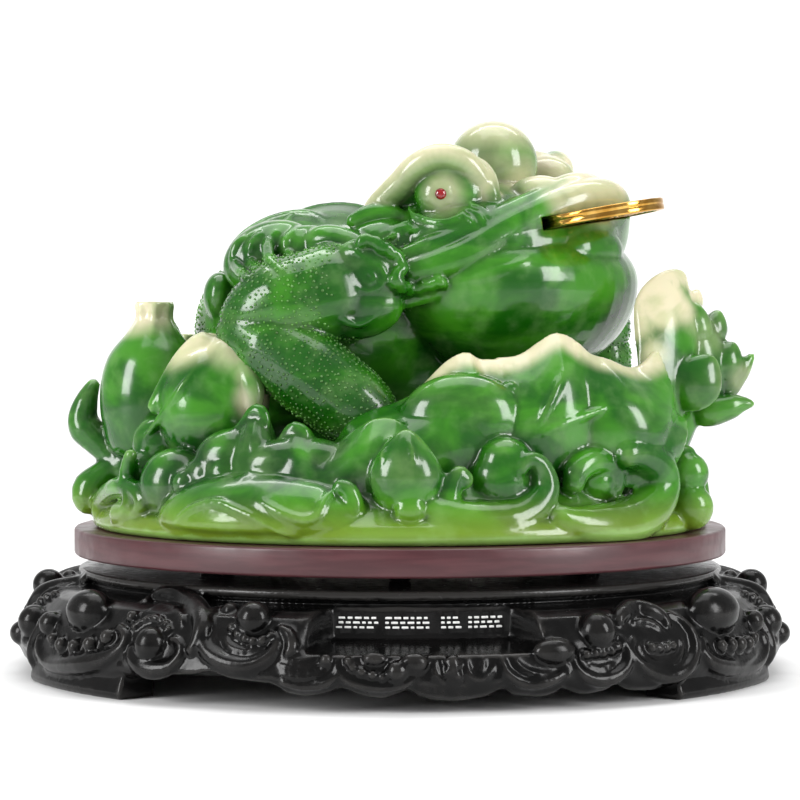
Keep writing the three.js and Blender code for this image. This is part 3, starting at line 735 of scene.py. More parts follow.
leaf_rims = (
    [
        on_ring(x, z, 119)
        for x, z in (
            (-103, 98), (-93, 107), (-85, 112), (-78, 117), (-71, 126), (-67, 121), (-62, 108), (-57, 111),
            (-52, 117), (-46, 114), (-42, 105), (-36, 104), (-30, 107), (-21, 114), (-12, 119), (-3, 119), (5, 112),
            (9, 102),
        )
    ],
    [
        (-35, -98, 38), (-28, -98, 44), (-22, -98, 52), (-12, -98, 57), (-2, -98, 60), (8, -97, 65), (14, -96, 71),
        (22, -95, 79), (30, -95, 83.5), (36, -94, 80.5), (44, -94, 81),
    ],
    [(42, -93, 81), (55, -92, 82), (65, -91, 88), (72, -90, 92), (80, -87, 89), (88, -84, 82)],
    [(80, -90, 90), (87, -87, 83), (96, -83, 80), (106, -77, 76), (114, -70, 78), (121, -63, 86)],
    [
        (113, -50, 96), (113.5, -48, 107), (117, -44, 114), (123, -40, 119.5), (130, -35, 122.5), (136, -30, 121.6),
        (137, -25, 114), (137, -20, 96),
    ],
    [(100, -80, 68), (108, -78, 66), (117, -75, 62), (126, -70, 57), (134, -66, 52)],
)
leaf_feet = (
    [on_ring(x, z, 130) for x, z in ((-100, 84), (-60, 78), (10, 84))],
    [(-36, -112, 18), (-8, -116, 22), (24, -114, 24), (48, -108, 26)],
    [(40, -108, 26), (62, -104, 26), (88, -96, 26)],
    [(82, -98, 26), (106, -86, 26), (124, -66, 26)],
    [(108, -60, 40), (122, -50, 36), (134, -34, 40)],
    [(98, -92, 24), (112, -86, 24), (124, -75, 32)],
)
leaf_bellies = ((-2, -9, -1), (4, -15, 0), (4, -13, 0), (8, -14, 0), (6, -7, 0), (3, -8, 0))
for foot_line, rim, belly in zip(leaf_feet, leaf_rims, leaf_bellies):
    sheet_of_clay(growth, foot_line, rim, belly, thickness=8, columns=90)
    bar(growth, rim, [1.8, 2.4, 2.6, 2.4, 1.8], sides=12)
egg(growth, on_ring(-49, 98, 121), (28, 14, 13), sides=30)
egg(growth, on_ring(-78, 101, 121), (22, 14, 15), sides=30)
for curl in (
    [(-84, 113), (-77, 118), (-71, 125.5), (-67, 122), (-66, 114)],
    [(-60, 109), (-56, 113), (-52, 116.5), (-47, 114), (-46, 108)],
):
    bar(growth, [on_ring(x, z, 123) for x, z in curl], [1.5, 3, 3.4, 3, 1.5])
egg(growth, on_ring(-84, 133, 104), (19, 17, 28), sides=36)
egg(growth, on_ring(31, 120, 108), (29, 16, 22), sides=30)
bar(
    growth, [on_ring(x, z, 116) for x, z in ((5, 112), (20, 104), (36, 102), (50, 110), (57, 124), (53, 140))],
    [4, 6, 7, 7, 6, 3],
)

# Pods with fluted necks, the swollen leaf beside them, and the bud in front
pod_section = [
    (0, 30), (18, 36), (24, 50), (25.5, 62), (24.5, 74), (21, 84), (14, 93), (9, 100), (7.6, 104), (8.4, 107),
    (9.6, 109.5), (7, 109), (4, 104), (0, 103),
]
pod_curve = [(max(0.0, r), h) for r, _, h in smooth_path([(r, 0, h) for r, h in pod_section], 60)[0]]
pod_curve[0], pod_curve[-1] = pod_section[0], pod_section[-1]
for centre, share in PODS:
    turned_clay(growth, pod_curve, centre, turns=(0, 1.5, 0), size=share)
    for i in range(7):
        a = math.tau * i / 7 + 0.3
        flute = [
            (centre[0] + 0.026 * h * share + r * share * math.cos(a), centre[1] + r * share * math.sin(a), h * share)
            for r, h in ((15, 91), (8.6, 99), (7.6, 104), (9.2, 110))
        ]
        bar(growth, flute, [0.8, 1.8, 2.0, 1.8], sides=8)
egg(growth, (-89, -64, 58), (25, 22, 31, 30), sides=40)
bar(
    growth,
    [on_ring(x, z, 105) for x, z in ((-99, 160), (-93, 158), (-84, 153.5), (-76, 145), (-72, 134), (-72, 122))],
    [3, 5.4, 6, 6, 5.4, 3], sides=24,
)
bar(
    growth,
    [
        (-117, -66, 56), (-105, -66, 76), (-94, -64, 89), (-90, -64, 88), (-80, -62, 85), (-69, -62, 74),
        (-64, -64, 56),
    ],
    [4, 5, 6, 5.5, 6, 5, 3],
)
egg(growth, on_ring(3, 93, 136), (16.5, 13, 21, 18), sides=36, point=0.45)
egg(growth, on_ring(5, 76, 144), (7, 5, 6))

# Waves: bars that curl in at their ends, with foam balls in the curls
curls = (
    (
        [(12, 82), (18, 74), (32, 69), (50, 69), (64, 75), (72, 86), (70, 97), (64, 101), (60, 97), (61, 92)],
        [6, 9, 10.5, 11, 10.5, 9, 7.4, 5.4, 4, 3], 139,
    ),
    ([(24, 76), (25, 86), (29, 94), (34, 93)], [6, 5.6, 4.4, 3], 137),
    (
        [(74, 76), (83, 70), (96, 68), (112, 70), (124, 78), (128, 90), (124, 100), (115, 104), (108, 100)],
        [5, 8.6, 10.5, 11, 11, 10.5, 10, 8, 5], 145,
    ),
    ([(85, 83), (87, 94), (95, 100), (104, 97), (106, 88), (100, 83)], [5, 6, 6.4, 6, 5, 4], 137),
    ([(-34, 88), (-26, 86), (-23, 77), (-27, 68), (-32, 64)], [3, 4.4, 5, 5, 4], 140),
    ([(-132, 106), (-134, 100), (-135, 91), (-132, 81), (-134, 75), (-140, 74)], [3, 3.6, 4.4, 5.4, 6, 6], 147),
    (
        [(-146, 72), (-147, 80), (-140, 87), (-131, 86), (-127, 79), (-132, 74), (-138, 77)],
        [6, 5.4, 5, 5, 4.4, 3.6, 3], 147,
    ),
    ([(-9, 70), (0, 64), (8, 66)], [6, 9, 7], 138),
)
for places, radii, ring in curls:
    bar(growth, [on_ring(x, z, ring) for x, z in places], radii, sides=18)
bar(
    growth,
    [
        (-149, -8, 72), (-153.5, -12, 61), (-155, -12, 50), (-147, -14, 40), (-139, -16, 30), (-151, -20, 17),
        (-146, -24, 8),
    ],
    [2.5, 6, 8.6, 6.5, 7.5, 9.6, 8], sides=18,
)
egg(growth, (-149, -13, 45), (9, 7, 4))
bar(growth, [(130, -44, 33), (139, -42, 26), (140, -46, 13), (136, -56, 6)], [5, 7.4, 8.4, 7], sides=18)
egg(growth, (134, -60, 37), (6, 5, 4.6))
egg(growth, (-62, -114, 8), (54, 26, 24, 7), (0, 0, -27), sides=44)
foam = (
    (-119, 109, 128, 13), (-95, 92, 132, 11), (-86, 93, 131, 10), (-106, 89, 140, 6.5), (52, 98, 128, 13),
    (31, 91, 136, 5), (137, 100, 141, 6), (96, 90, 132, 10), (-34, 82, 132, 8), (-128, 96, 138, 9),
)
for x, z, ring, radius in foam:
    egg(growth, on_ring(x, z, ring), (radius, radius * 0.9, radius))
for x, y, z, radius in (
    (-104, -84, 24, 17), (45, -120, 27, 14), (136, -62, 28, 10), (-133, -14, 28, 13), (-66, -118, 18, 14),
    (137, -64, 12, 11),
):
    egg(growth, (x, y, z), (radius, radius * 0.9, radius))

# The flower: blunt petals round its heart, two pointed ones opening outwards below
egg(growth, (142, -28, 76), (16, 15, 26, 24), sides=28)
bar(growth, [(118, -44, 6), (128, -38, 36), (140, -30, 66)], [9, 9, 10])
petals = (
    (142, -34, 96, 9, 13, 0), (152, -25, 96, 7, 10, 14), (142, -26, 109, 5, 7, 20),
    (157, -30, 80, 9, 11, 24), (133, -38, 84, 9, 14, -14), (141, -50, 71, 13, 15, 34),
)
for x, y, z, wide, high, lean in petals:
    egg(growth, (x, y, z), (wide, 7.5, high), (0, lean, 0), sides=24, point=0.35)
bar(growth, [(152, -27, 62), (161, -27, 72), (168, -27, 80), (171.5, -27, 85)], [6, 7, 5, 1])
bar(growth, [(140, -38, 54), (154, -37, 57.5), (164, -36, 60), (171.5, -36, 60)], [6, 7.5, 6, 1])

# The side away from the viewer is plainer, in the same manner.
back_rims = (
    [(-22, 98, 44), (-32, 97, 62), (-48, 95, 70), (-64, 92, 75), (-84, 84, 66), (-98, 74, 46)],
    [(66, 90, 46), (56, 92, 66), (42, 96, 75), (22, 98, 85), (-2, 100, 79), (-22, 98, 62), (-32, 97, 44)],
    [(124, 54, 46), (118, 62, 66), (110, 70, 75), (96, 80, 78), (78, 90, 70), (64, 96, 60), (56, 98, 44)],
)
back_feet = (
    [(-24, 117, 18), (-70, 104, 18), (-106, 78, 18)],
    [(66, 106, 18), (20, 118, 18), (-32, 115, 18)],
    [(124, 60, 18), (100, 90, 18), (56, 112, 18)],
)
for foot_line, rim, belly in zip(back_feet, back_rims, ((-6, 14, 0), (0, 15, 0), (8, 12, 0))):
    sheet_of_clay(growth, foot_line, rim, belly, thickness=8)
    bar(growth, rim, [2.6, 3.2, 2.6], sides=12)


def scroll(clay, centre, reach, radii, facing, first, sweep):
    """A bar that winds inwards round a centre from a first angle through a sweep, facing along an azimuth."""
    points = []
    x, y, z = centre
    turn = math.radians(facing)
    for i in range(9):
        angle = math.radians(first + sweep * i / 8)
        radius = reach * (1 - 0.5 * i / 8)
        across = math.cos(angle) * radius
        points.append((x - across * math.sin(turn), y + across * math.cos(turn), z + math.sin(angle) * radius))
    bar(clay, points, radii, sides=16)


for centre, reach, facing in (
    ((10, 132, 20), 20, 92), ((-70, 114, 20), 18, 122), ((86, 108, 20), 18, 52), ((-128, 64, 20), 16, 155),
    ((134, 40, 18), 17, 15), ((-141, 16, 18), 15, 188),
):
    scroll(growth, centre, reach, [6, 8, 8, 6, 4], facing, first=190, sweep=260)
for x, y, z, radius in (
    (-26, 128, 20, 14), (48, 124, 18, 13), (-100, 94, 18, 13), (124, 66, 16, 13), (142, 14, 20, 11),
    (128, 66, 15, 10), (116, 30, 36, 14), (-144, 40, 16, 9), (-130, 14, 34, 12),
):
    egg(growth, (x, y, z), (radius, radius * 0.9, radius))

# Creases and thin edges that catch the light, laid on where the viewer sees them
bare_growth = surface_of(skin_of(growth.copy(), voxel=2.0))
for crease, girth in (
    ([(82, 147), (77, 135), (72, 125), (68, 116)], [0.8, 2.2, 2.2, 1]),
    ([(103, 127), (90, 122), (77, 117), (68, 112)], [0.8, 2.2, 2.2, 1]),
    (
        [(-111, 69), (-108, 73), (-101, 77.5), (-90, 79.5), (-82, 76.5), (-71, 71.6), (-58, 65), (-49, 63)],
        [1, 1.8, 2.2, 2.2, 2, 1.8, 1.8, 1],
    ),
    ([(-71, 81.5), (-60, 75), (-49, 71), (-41, 73), (-37, 81), (-33, 86)], [1, 2, 2.4, 2.6, 2.4, 1.2]),
    ([(-4, 113), (-8, 104), (-10, 94)], [0.6, 1.5, 1.5, 0.6]),
    ([(3, 114), (6, 104), (6, 92)], [0.6, 1.5, 1.5, 0.6]),
    ([(-98, 150), (-108, 136), (-118, 122), (-128, 110)], [1, 2.2, 2.2, 1]),
):
    ridge(growth, bare_growth, crease, girth)

growth_skin = skin_of(growth, voxel=1.15, softness=3, limit=190000)

# Painted shade in the gaps between the leaves and pods, and cream on the petals, the leaf rims, the pods' necks and the
# bent leaf
growth_spots = [
    (-122, -22, 58, 28, -0.26), (-112, 48, 50, 26, -0.26), (-92, -66, 44, 24, -0.26), (-104, -88, 26, 22, -0.42),
    (-80, -98, 32, 24, -0.4), (-56, -70, 48, 28, -0.9), (-14, -74, 48, 24, -0.8), (-62, -112, 34, 28, -0.6),
    (-28, -116, 30, 22, -0.5), (-92, -96, 36, 22, -0.5), (-150, -12, 50, 14, -0.3), (-146, -16, 22, 14, -0.2),
    (120, -60, 84, 22, -0.1), (62, -104, 32, 26, -0.14), (45, -120, 27, 14, -0.2), (3, -140, 34, 16, 0.32),
    (146, -34, 92, 22, 0.34), (150, -46, 72, 16, 0.34), (166, -32, 72, 14, 0.42),
]
for rim in (*leaf_rims, *back_rims):
    for point in smooth_path(rim, 14)[0]:
        high = float(np.interp(point[2], [58, 70, 80], [0.05, 0.45, 0.8]))
        growth_spots.append((*point, 12, high))
for centre, share in PODS:
    for height, reach in ((94, 15), (100, 15), (108, 15)):
        growth_spots.append((centre[0], centre[1], height * share, reach * share, 1.0))
for x, y, z in ((-98, -64, 88), (-88, -64, 90), (-78, -66, 84), (-71, -72, 74), (-70, -74, 64)):
    growth_spots.append((x, y, z, 19 if z > 80 else 13, 0.95))
for x, y, z in ((128, -44, 112), (131, -40, 104), (124, -48, 104), (132, -36, 96), (142, -26, 114)):
    growth_spots.append((x, y, z, 13, 0.95))
cast(growth_skin, "lotus_and_waves_casting", growth_spots)


# The eyes' stones: small domes of polished red glass, each with a flat back. They are glued into a seat in the
# middle of the eyeballs after the figure is cast.
STONE_OUT = 11.4


def mottled(nodes, links, noise, low, high, first, second):
    """Two paint colours that pass into each other as a noise goes from low to high."""
    return mixed(nodes, links, spread(nodes, links, noise, low, high), srgb(*first), srgb(*second))


ruby, nodes, links, shader = new_finish("red_stone")
red = mottled(nodes, links, clouds(nodes, links, 500, 2), 0.35, 0.7, (96, 3, 8), (150, 8, 16))
links.new(red, shader.inputs["Base Color"])
shader.inputs["Roughness"].default_value = 0.05
shader.inputs["Coat Weight"].default_value = 1.0
for name in ("eye_gem_right", "eye_gem_left"):
    low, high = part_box(name)
    middle = (low + high) / 2
    eyeball = Vector(in_head(4, -53 if name.endswith("right") else 53, 160)) + Vector((0, 0, FIGURE_FOOT))
    outward = (middle / MM - eyeball).normalized()
    stone = bmesh.new()
    section = [(0, -1.0), (2.7, -1.0), (2.7, 0.5), (2.45, 1.0), (1.9, 1.5), (1.1, 1.85), (0, 2.0)]
    turned_clay(stone, section, steps=24)
    bmesh.ops.recalc_face_normals(stone, faces=stone.faces)
    stone_mesh = bpy.data.meshes.new(name + "_stone")
    stone.to_mesh(stone_mesh)
    stone.free()
    seat = eyeball + outward * STONE_OUT
    stone_mesh.transform(Matrix.Translation(seat) @ outward.to_track_quat("Z", "Y").to_matrix().to_4x4())
    stone_mesh.shade_smooth()
    finished(stone_mesh, name + "_stone", "turntable", name, ruby)


# The coin: struck in a zinc alloy and gold-plated, with a double rim and lace-like relief on both faces. It only
# rests between the lips.
coin = bmesh.new()
FLAT = 1.5
half_section = [
    (0, FLAT), (20.5, FLAT), (21.1, 2.1), (22.1, 2.1), (22.7, FLAT), (26.2, FLAT), (26.9, 2.7), (27.3, 2.9),
    (28.9, 2.9), (29.3, 2.7), (29.5, 2.3), (29.5, 0.35), (29.2, 0.1),
]
turned_clay(coin, half_section + [(r, -h) for r, h in reversed(half_section)], steps=128)
for face_side in (1, -1):
    for ring, count, radius in ((24.5, 40, 1.1), (12.6, 16, 1.5)):
        for i in range(count):
            a = math.tau * i / count
            egg(coin, (ring * math.cos(a), ring * math.sin(a), FLAT * face_side), (radius, radius, 0.9), sides=8)
    level = 1.6 * face_side
    for i in range(8):
        a = math.tau * i / 8
        petal = ((9, 0), (13, 0.27), (18.6, 0.2), (19.6, 0), (18.6, -0.2), (13, -0.27), (9, 0))
        loop = [(r * math.cos(a + b), r * math.sin(a + b), level) for r, b in petal]
        bar(coin, loop, [0.7, 0.9, 0.9, 0.9, 0.9, 0.9, 0.7], sides=6, steps=16)
    square = [(6, 6), (-6, 6), (-6, -6), (6, -6), (6, 6)]
    for (ax, ay), (bx, by) in zip(square, square[1:]):
        edge = [(ax, ay, level), ((ax + bx) / 2, (ay + by) / 2, level), (bx, by, level)]
        bar(coin, edge, [0.9, 0.9, 0.9], sides=6, steps=6)
bmesh.ops.recalc_face_normals(coin, faces=coin.faces)
coin_mesh = bpy.data.meshes.new("gold_coin")
coin.to_mesh(coin_mesh)
coin.free()
in_the_lips = Matrix.Translation((COIN_AT[0], COIN_AT[1], COIN_AT[2] + FIGURE_FOOT))
coin_mesh.transform(in_the_lips @ Matrix.Rotation(math.radians(COIN_TILT), 4, "Y"))
coin_mesh.shade_smooth()
gold, nodes, links, shader = new_finish("gold_plate")
shader.inputs["Metallic"].default_value = 1.0
plate = mottled(nodes, links, clouds(nodes, links, 140, 3), 0.35, 0.7, (196, 144, 62), (226, 180, 96))
links.new(plate, shader.inputs["Base Color"])
links.new(spread(nodes, links, clouds(nodes, links, 320, 2), 0.3, 0.8, 0.08, 0.2), shader.inputs["Roughness"])
finished(coin_mesh, "gold_coin", "turntable", "mouth_coin", gold)


# The base: a round plinth in black-lacquered cast resin, with a hollowed neck, a skirt of scrollwork and four
# broad feet. Azimuths are degrees from the front, positive towards the right; heights are above the ground.
SKIRT = ((0, 181), (6, 181), (13, 187), (21, 185), (29, 182), (39, 174), (43, 158), (60, 158))
FEET = (-55, 55, -125, 125)
FOOT_HALF_WIDTH = 13.2
PANEL = (-13.5, 20.5)
HEM = (
    (-41, 9), (-36.7, 13), (-32.9, 13), (-29.4, 14), (-26.5, 17), (-23.8, 13), (-19.1, 12), (-17.5, 12), (-15.9, 8),
    (-13, 6.5), (-9.8, 8.5), (-8, 11.5), (-5.9, 8), (-2.6, 6), (0.4, 9), (1, 11), (2, 8), (4.4, 5.5), (8.4, 5),
    (12.4, 7), (14, 11), (15.6, 7), (19.7, 5.4), (21.9, 7), (23.1, 10), (24.4, 6.6), (26.3, 5.6), (29.9, 6.6),
    (31.3, 11), (33, 6.4), (34.9, 5.4), (38, 5), (41, 5.4), (44, 11),
)


def out_at(height):
    """The skirt's radius at a height."""
    return float(np.interp(height, [h for h, _ in SKIRT], [r for _, r in SKIRT]))


def on_skirt(azimuth, height, proud=0.0):
    """A place on the skirt, or proud of it."""
    turn = math.radians(azimuth)
    radius = out_at(height) + proud
    return (radius * math.sin(turn), -radius * math.cos(turn), height)


def hem(azimuth):
    """The lowest height of the skirt's lobes."""
    if -41 < azimuth < 44:
        return float(np.interp(azimuth, [a for a, _ in HEM], [h for _, h in HEM]))
    return 11.5 - 6.0 * abs(math.sin(math.pi * azimuth / 10.4)) ** 0.6


carving = bmesh.new()
plinth = bmesh.new()
plinth_section = [
    (0, 11), (160, 11), (170, 10), (176, 7.5), (181, 6), (184.5, 8), (187, 13), (186.5, 17), (185, 21), (183.6, 25),
    (182, 29), (179, 33), (174, 39), (168, 41.6), (160, 42.6), (154.5, 43.2), (153.5, 44.4), (155.5, 45.6),
    (157.6, 46.4), (158, 48.6), (157.2, 50), (0, 50),
]
turned_clay(plinth, plinth_section, steps=300)
for vert in plinth.verts:
    azimuth = math.degrees(math.atan2(vert.co.x, -vert.co.y))
    radius = math.hypot(vert.co.x, vert.co.y)
    if radius > 165 and vert.co.z < 15.9:
        share = min(1.0, (radius - 165) / 12)
        vert.co.z += (hem(azimuth) - 6) * (16 - vert.co.z) / 10 * share
    edge = min(azimuth - PANEL[0], PANEL[1] - azimuth)
    if edge > 0 and vert.co.z > 26.5 and radius > 158.5:
        target = 157.2 if vert.co.z < 28 else 155.4
        draw = 1 + (target / radius - 1) * min(1.0, edge / 2.2)
        vert.co.x *= draw
        vert.co.y *= draw
press(plinth, carving)
for middle in FEET:
    foot = bmesh.new()
    start = math.radians(middle - FOOT_HALF_WIDTH - 90)
    corners = [(166, 0), (186, 0), (187.5, 2.5), (186.5, 6), (184.5, 12), (184, 22), (166, 22)]
    face = foot.faces.new([foot.verts.new((r * math.cos(start), r * math.sin(start), h)) for r, h in corners])
    section = [face, *face.edges, *face.verts]
    sweep_of_foot = math.radians(2 * FOOT_HALF_WIDTH)
    bmesh.ops.spin(foot, geom=section, axis=(0, 0, 1), cent=(0, 0, 0), angle=sweep_of_foot, steps=24)
    press(foot, carving)

# Scrollwork motifs: strokes as azimuth and height pairs round a motif's middle, with their thickness; then eggs as
# azimuth, height, half-width, half-height; then beads as azimuth, height, radius
cradle = (
    (
        (
            [(10.1, 32), (12.8, 28.8), (12.9, 23.4), (10.1, 17.9), (4.6, 14), (-4.9, 10.8), (-9, 16), (-10.5, 24)],
            [2, 3, 4.4, 5, 5, 4.4, 3.2, 2],
        ),
        ([(11.5, 25.4), (10, 18.7), (4, 12.3), (-9.9, 6.5)], [0.8, 1.6, 1.7, 0.9]),
        ([(9.6, 13), (2, 6.4), (-6, 3.8), (-11.5, 4)], [0.8, 1.7, 1.7, 1.0]),
        ([(-10.6, 30), (-12.6, 22), (-13.2, 12), (-12.6, 3)], [2, 2.6, 3, 2.6]),
    ),
    ((1.7, 36, 13.5, 10.5), (-7.7, 28.4, 6, 6)),
    ((-4.6, 22.6, 3), (-1.2, 20.8, 3.8), (2.6, 20.8, 3.9), (6.2, 23, 4), (9.6, 27, 4)),
)
broad_cradle = (
    (
        (
            [(-7, 28), (-7.8, 19.7), (-5.2, 13.6), (3.4, 9.6), (9, 11), (11.6, 17), (11.5, 24)],
            [2, 3.6, 4.6, 4.8, 4.4, 3.4, 2],
        ),
        ([(-6.2, 26), (-6.6, 20), (-4, 15.2), (3, 13), (8, 15)], [0.8, 1.5, 1.6, 1.5, 0.8]),
        ([(-9.6, 14), (-6, 6.6), (2, 4.6), (11, 5)], [1, 2, 2.2, 1.2]),
        ([(12, 34), (13.6, 26), (13.8, 14), (13, 4)], [2, 3, 3.4, 2.6]),
    ),
    ((-1.3, 36, 17.5, 11.5), (9.6, 29, 5.5, 5.5)),
    ((-3.6, 21.6, 3.4), (-1, 21.4, 3.8), (1.7, 21, 3.8), (4.3, 20.8, 3.6), (6.8, 22.4, 3.2)),
)
hooded_ball = (
    (
        (
            [(-9.2, 40.6), (-9.6, 43.4), (-7, 45.6), (-3.1, 44.6), (2.6, 41), (5.9, 34.8), (5.9, 27.4), (4.6, 22.4)],
            [2, 3, 3.6, 4.2, 5, 5.4, 4.6, 2.4],
        ),
        ([(-5.8, 38.6), (-5.6, 41), (-2.6, 40.8), (1.6, 37.6), (2.4, 33.4)], [1, 1.7, 1.9, 1.8, 1]),
        (
            [(-4.9, 26), (-4.2, 20), (-1.6, 15.6), (1.6, 16.2), (3.4, 20.6), (3.5, 25.6), (2, 28.8), (0.9, 26.8)],
            [3, 4.6, 5.2, 4.6, 3.4, 2.6, 2, 1.4],
        ),
        ([(-6.6, 24), (-5.8, 18), (-3, 13.4)], [1, 1.8, 1.2]),
    ),
    ((-1.8, 25.4, 7.8, 8.4),),
    (
        (-7.4, 36.3, 3.2), (-6, 32.4, 1.8), (-5.4, 34.3, 1.8), (-4.4, 36, 1.9), (-3.1, 36.9, 1.9), (-1.8, 36.2, 1.9),
        (-0.5, 34.6, 1.9), (0.4, 32.4, 1.8),
    ),
)
ball_in_cup = (
    (
        (
            [
                (-8.6, 42.4), (-9, 38.8), (-8.7, 31.4), (-7.2, 24.6), (-4, 20.2), (-0.6, 19.6), (2.1, 23.9),
                (3, 29.9), (2, 33.6),
            ],
            [1.4, 2.4, 3, 3.6, 4, 4, 3.6, 2.8, 1.4],
        ),
        ([(-5.2, 31.9), (-3.9, 27.2), (-1.6, 25.2), (0.5, 25.6), (1.7, 28)], [0.9, 1.9, 2.2, 1.9, 0.9]),
        ([(-6.9, 33), (-6, 26.4), (-3.6, 22.8), (-0.8, 22)], [0.7, 1.3, 1.3, 0.7]),
        ([(2.3, 36), (4.4, 33), (5.2, 27.2), (4.2, 23.4)], [1.6, 2.8, 3, 1.6]),
    ),
    ((-1.4, 38.6, 8, 8), (-6.6, 40.8, 4, 4)),
    ((-4.2, 35, 2.3), (-3, 32.4, 2.3), (-1.7, 30.8, 2.3), (-0.4, 30, 2.3), (0.9, 30.4, 2.3), (2, 32.2, 2.2)),
)
nested_cups = (
    (
        ([(-4.6, 20.6), (-2.2, 18.8), (0.3, 19.8), (2, 23.4)], [1, 1.6, 1.6, 1]),
        ([(-4.4, 17.2), (-1.6, 15.6), (1.2, 16.8), (3.1, 22)], [1, 1.8, 1.8, 1]),
        ([(-4.1, 23.6), (-1.9, 22), (0.9, 24)], [0.9, 1.5, 0.9]),
        ([(-4.4, 13.6), (-1, 11.8), (2.4, 13.6), (4.6, 20)], [1.2, 2.2, 2.2, 1.2]),
    ),
    (),
    (),
)
bead_ring = (
    (
        ([(-5.2, 25), (-5.3, 19.6), (-3.8, 14.2), (0, 11.8), (3.6, 13), (5.2, 17.6)], [1, 1.6, 2, 2.2, 1.8, 1]),
        ([(4.6, 24.4), (3.8, 21), (4.6, 16.6)], [1, 1.6, 1]),
    ),
    ((2.6, 18.4, 4.8, 4.8), (-0.4, 23.6, 5.4, 3)),
    ((-6.9, 23.2, 2.6), (-3.9, 22.6, 2), (-3.2, 20.2, 2), (-2, 18.4, 2), (-0.6, 17.2, 2), (0.7, 16.4, 1.7)),
)
drop = (
    (
        ([(2.8, 24.8), (3.1, 17.4), (4.8, 15), (7, 21)], [1, 1.9, 1.9, 1]),
        ([(5.2, 24.6), (4.9, 19.2), (3.2, 13.4)], [1, 1.8, 1.2]),
        ([(-1.4, 24.6), (-1.3, 17.6), (0.4, 12)], [1, 1.8, 1.2]),
    ),
    ((-4.1, 22, 6.4, 4.6), (1, 19.6, 3.4, 6)),
    ((0.3, 22.6, 1.8), (1.7, 21.4, 1.7), (0.4, 18.4, 1.8), (1.6, 16.6, 1.7)),
)
shell = (
    (
        ([(-5.4, 24.6), (-4.6, 17), (-2, 12.4), (1, 13), (3.2, 15.8), (4.4, 20.4)], [1.2, 2.2, 2.6, 2.6, 2.2, 1.2]),
        ([(-3.8, 24.4), (-2.6, 18.8), (0, 15.8), (2.2, 17)], [0.9, 1.5, 1.6, 0.9]),
        ([(2.9, 20.6), (4, 18), (4.1, 15.4), (2.9, 14)], [1.4, 2, 2, 1]),
    ),
    ((2.4, 25.4, 10, 5.8),),
    (),
)
small_ball_in_cup = (
    (
        (
            [
                (-4.3, 26.4), (-4.9, 20), (-3.9, 15.3), (-1.3, 12.2), (1.4, 13.6), (3.6, 18.5), (3.7, 26.2),
                (2.6, 31.7),
            ],
            [1.2, 2.4, 3, 3.4, 3.2, 2.8, 2.4, 1.2],
        ),
        ([(-3.3, 19.6), (-1.2, 16.8), (1.4, 19.4)], [0.8, 1.6, 0.8]),
    ),
    ((-0.3, 32.4, 8.6, 9),),
    ((-3, 23.6, 2.2), (-1.7, 24, 2.3), (-0.4, 24, 2.3), (1, 24.6, 2.3), (2.2, 26, 2)),
)
crest_and_cup = (
    (
        ([(-6.4, 33.8), (-5.1, 38.2), (-1.4, 40.2), (1.2, 38.8), (2.8, 35.4), (2.5, 30.8)], [2, 4, 5, 4.6, 3.4, 1.6]),
        ([(-4.3, 34.6), (-1.6, 35.4), (0.6, 33), (1.4, 29.9)], [1, 2, 2, 1]),
        (
            [
                (-4.4, 30.2), (-5.6, 23), (-4.1, 16.6), (0.2, 11.4), (3.8, 13.2), (6.4, 20.2), (6.9, 28.8), (6, 34.6),
                (3.6, 38),
            ],
            [1.4, 2.8, 3.4, 3.8, 3.6, 3.2, 2.8, 2.4, 1.2],
        ),
        ([(-3.7, 28.6), (-3.8, 22.6), (-1.5, 17), (1.9, 17), (4, 22.4), (4.2, 28)], [0.8, 1.5, 1.7, 1.7, 1.5, 0.8]),
    ),
    (),
    ((-2, 24.6, 2.3), (-0.7, 24, 2.3), (0.7, 24, 2.3), (2, 24.6, 2.2)),
)
wing = (
    (
        ([(-3, 46), (0.6, 44), (4, 39.5), (6, 35), (7, 28)], [2.4, 3.8, 4.6, 5, 3]),
        ([(2, 31), (1, 24), (-2, 18), (-6, 16)], [1.4, 3, 3.4, 2]),
        ([(-1, 44), (2, 39), (3, 33)], [1, 2, 1]),
    ),
    ((-3, 27, 8, 8), (5, 19, 7, 6)),
    ((0, 35.4, 2.6), (-1.6, 37.8, 2.4), (-3.4, 39.4, 2.4), (1, 32.6, 2.4)),
)


def ornament(motif, middle, hand):
    """Presses a motif on the skirt, mirrored where hand is -1."""
    strokes, eggs, beads = motif
    for places, radii in strokes:
        bar(carving, [on_skirt(middle + hand * a, h) for a, h in places], radii, sides=12)
    for a, h, wide, high in eggs:
        azimuth = middle + hand * a
        egg(carving, on_skirt(azimuth, h), (wide, min(wide, high) * 1.02, high), (0, 0, azimuth), sides=28)
    for a, h, radius in beads:
        egg(carving, on_skirt(middle + hand * a, h, 1.0), (radius, radius, radius), sides=14)


for motif, middle, hand in (
    (cradle, -55, 1), (hooded_ball, -35, 1), (ball_in_cup, -20, 1), (nested_cups, -12, 1), (bead_ring, -3, 1),
    (drop, 6, 1), (shell, 19, 1), (small_ball_in_cup, 29, 1), (crest_and_cup, 39, 1), (broad_cradle, 55, 1),
    (wing, -74, -1), (ball_in_cup, -90, 1), (wing, -106, 1), (wing, 74, 1), (ball_in_cup, 90, -1), (wing, 106, -1),
    (cradle, -125, -1), (broad_cradle, 125, -1), (crest_and_cup, 141, -1), (small_ball_in_cup, 152, -1),
    (shell, 165, 1), (ball_in_cup, 180, 1), (shell, -166, -1), (small_ball_in_cup, -152, 1), (hooded_ball, -140, -1),
):
    ornament(motif, middle, hand)

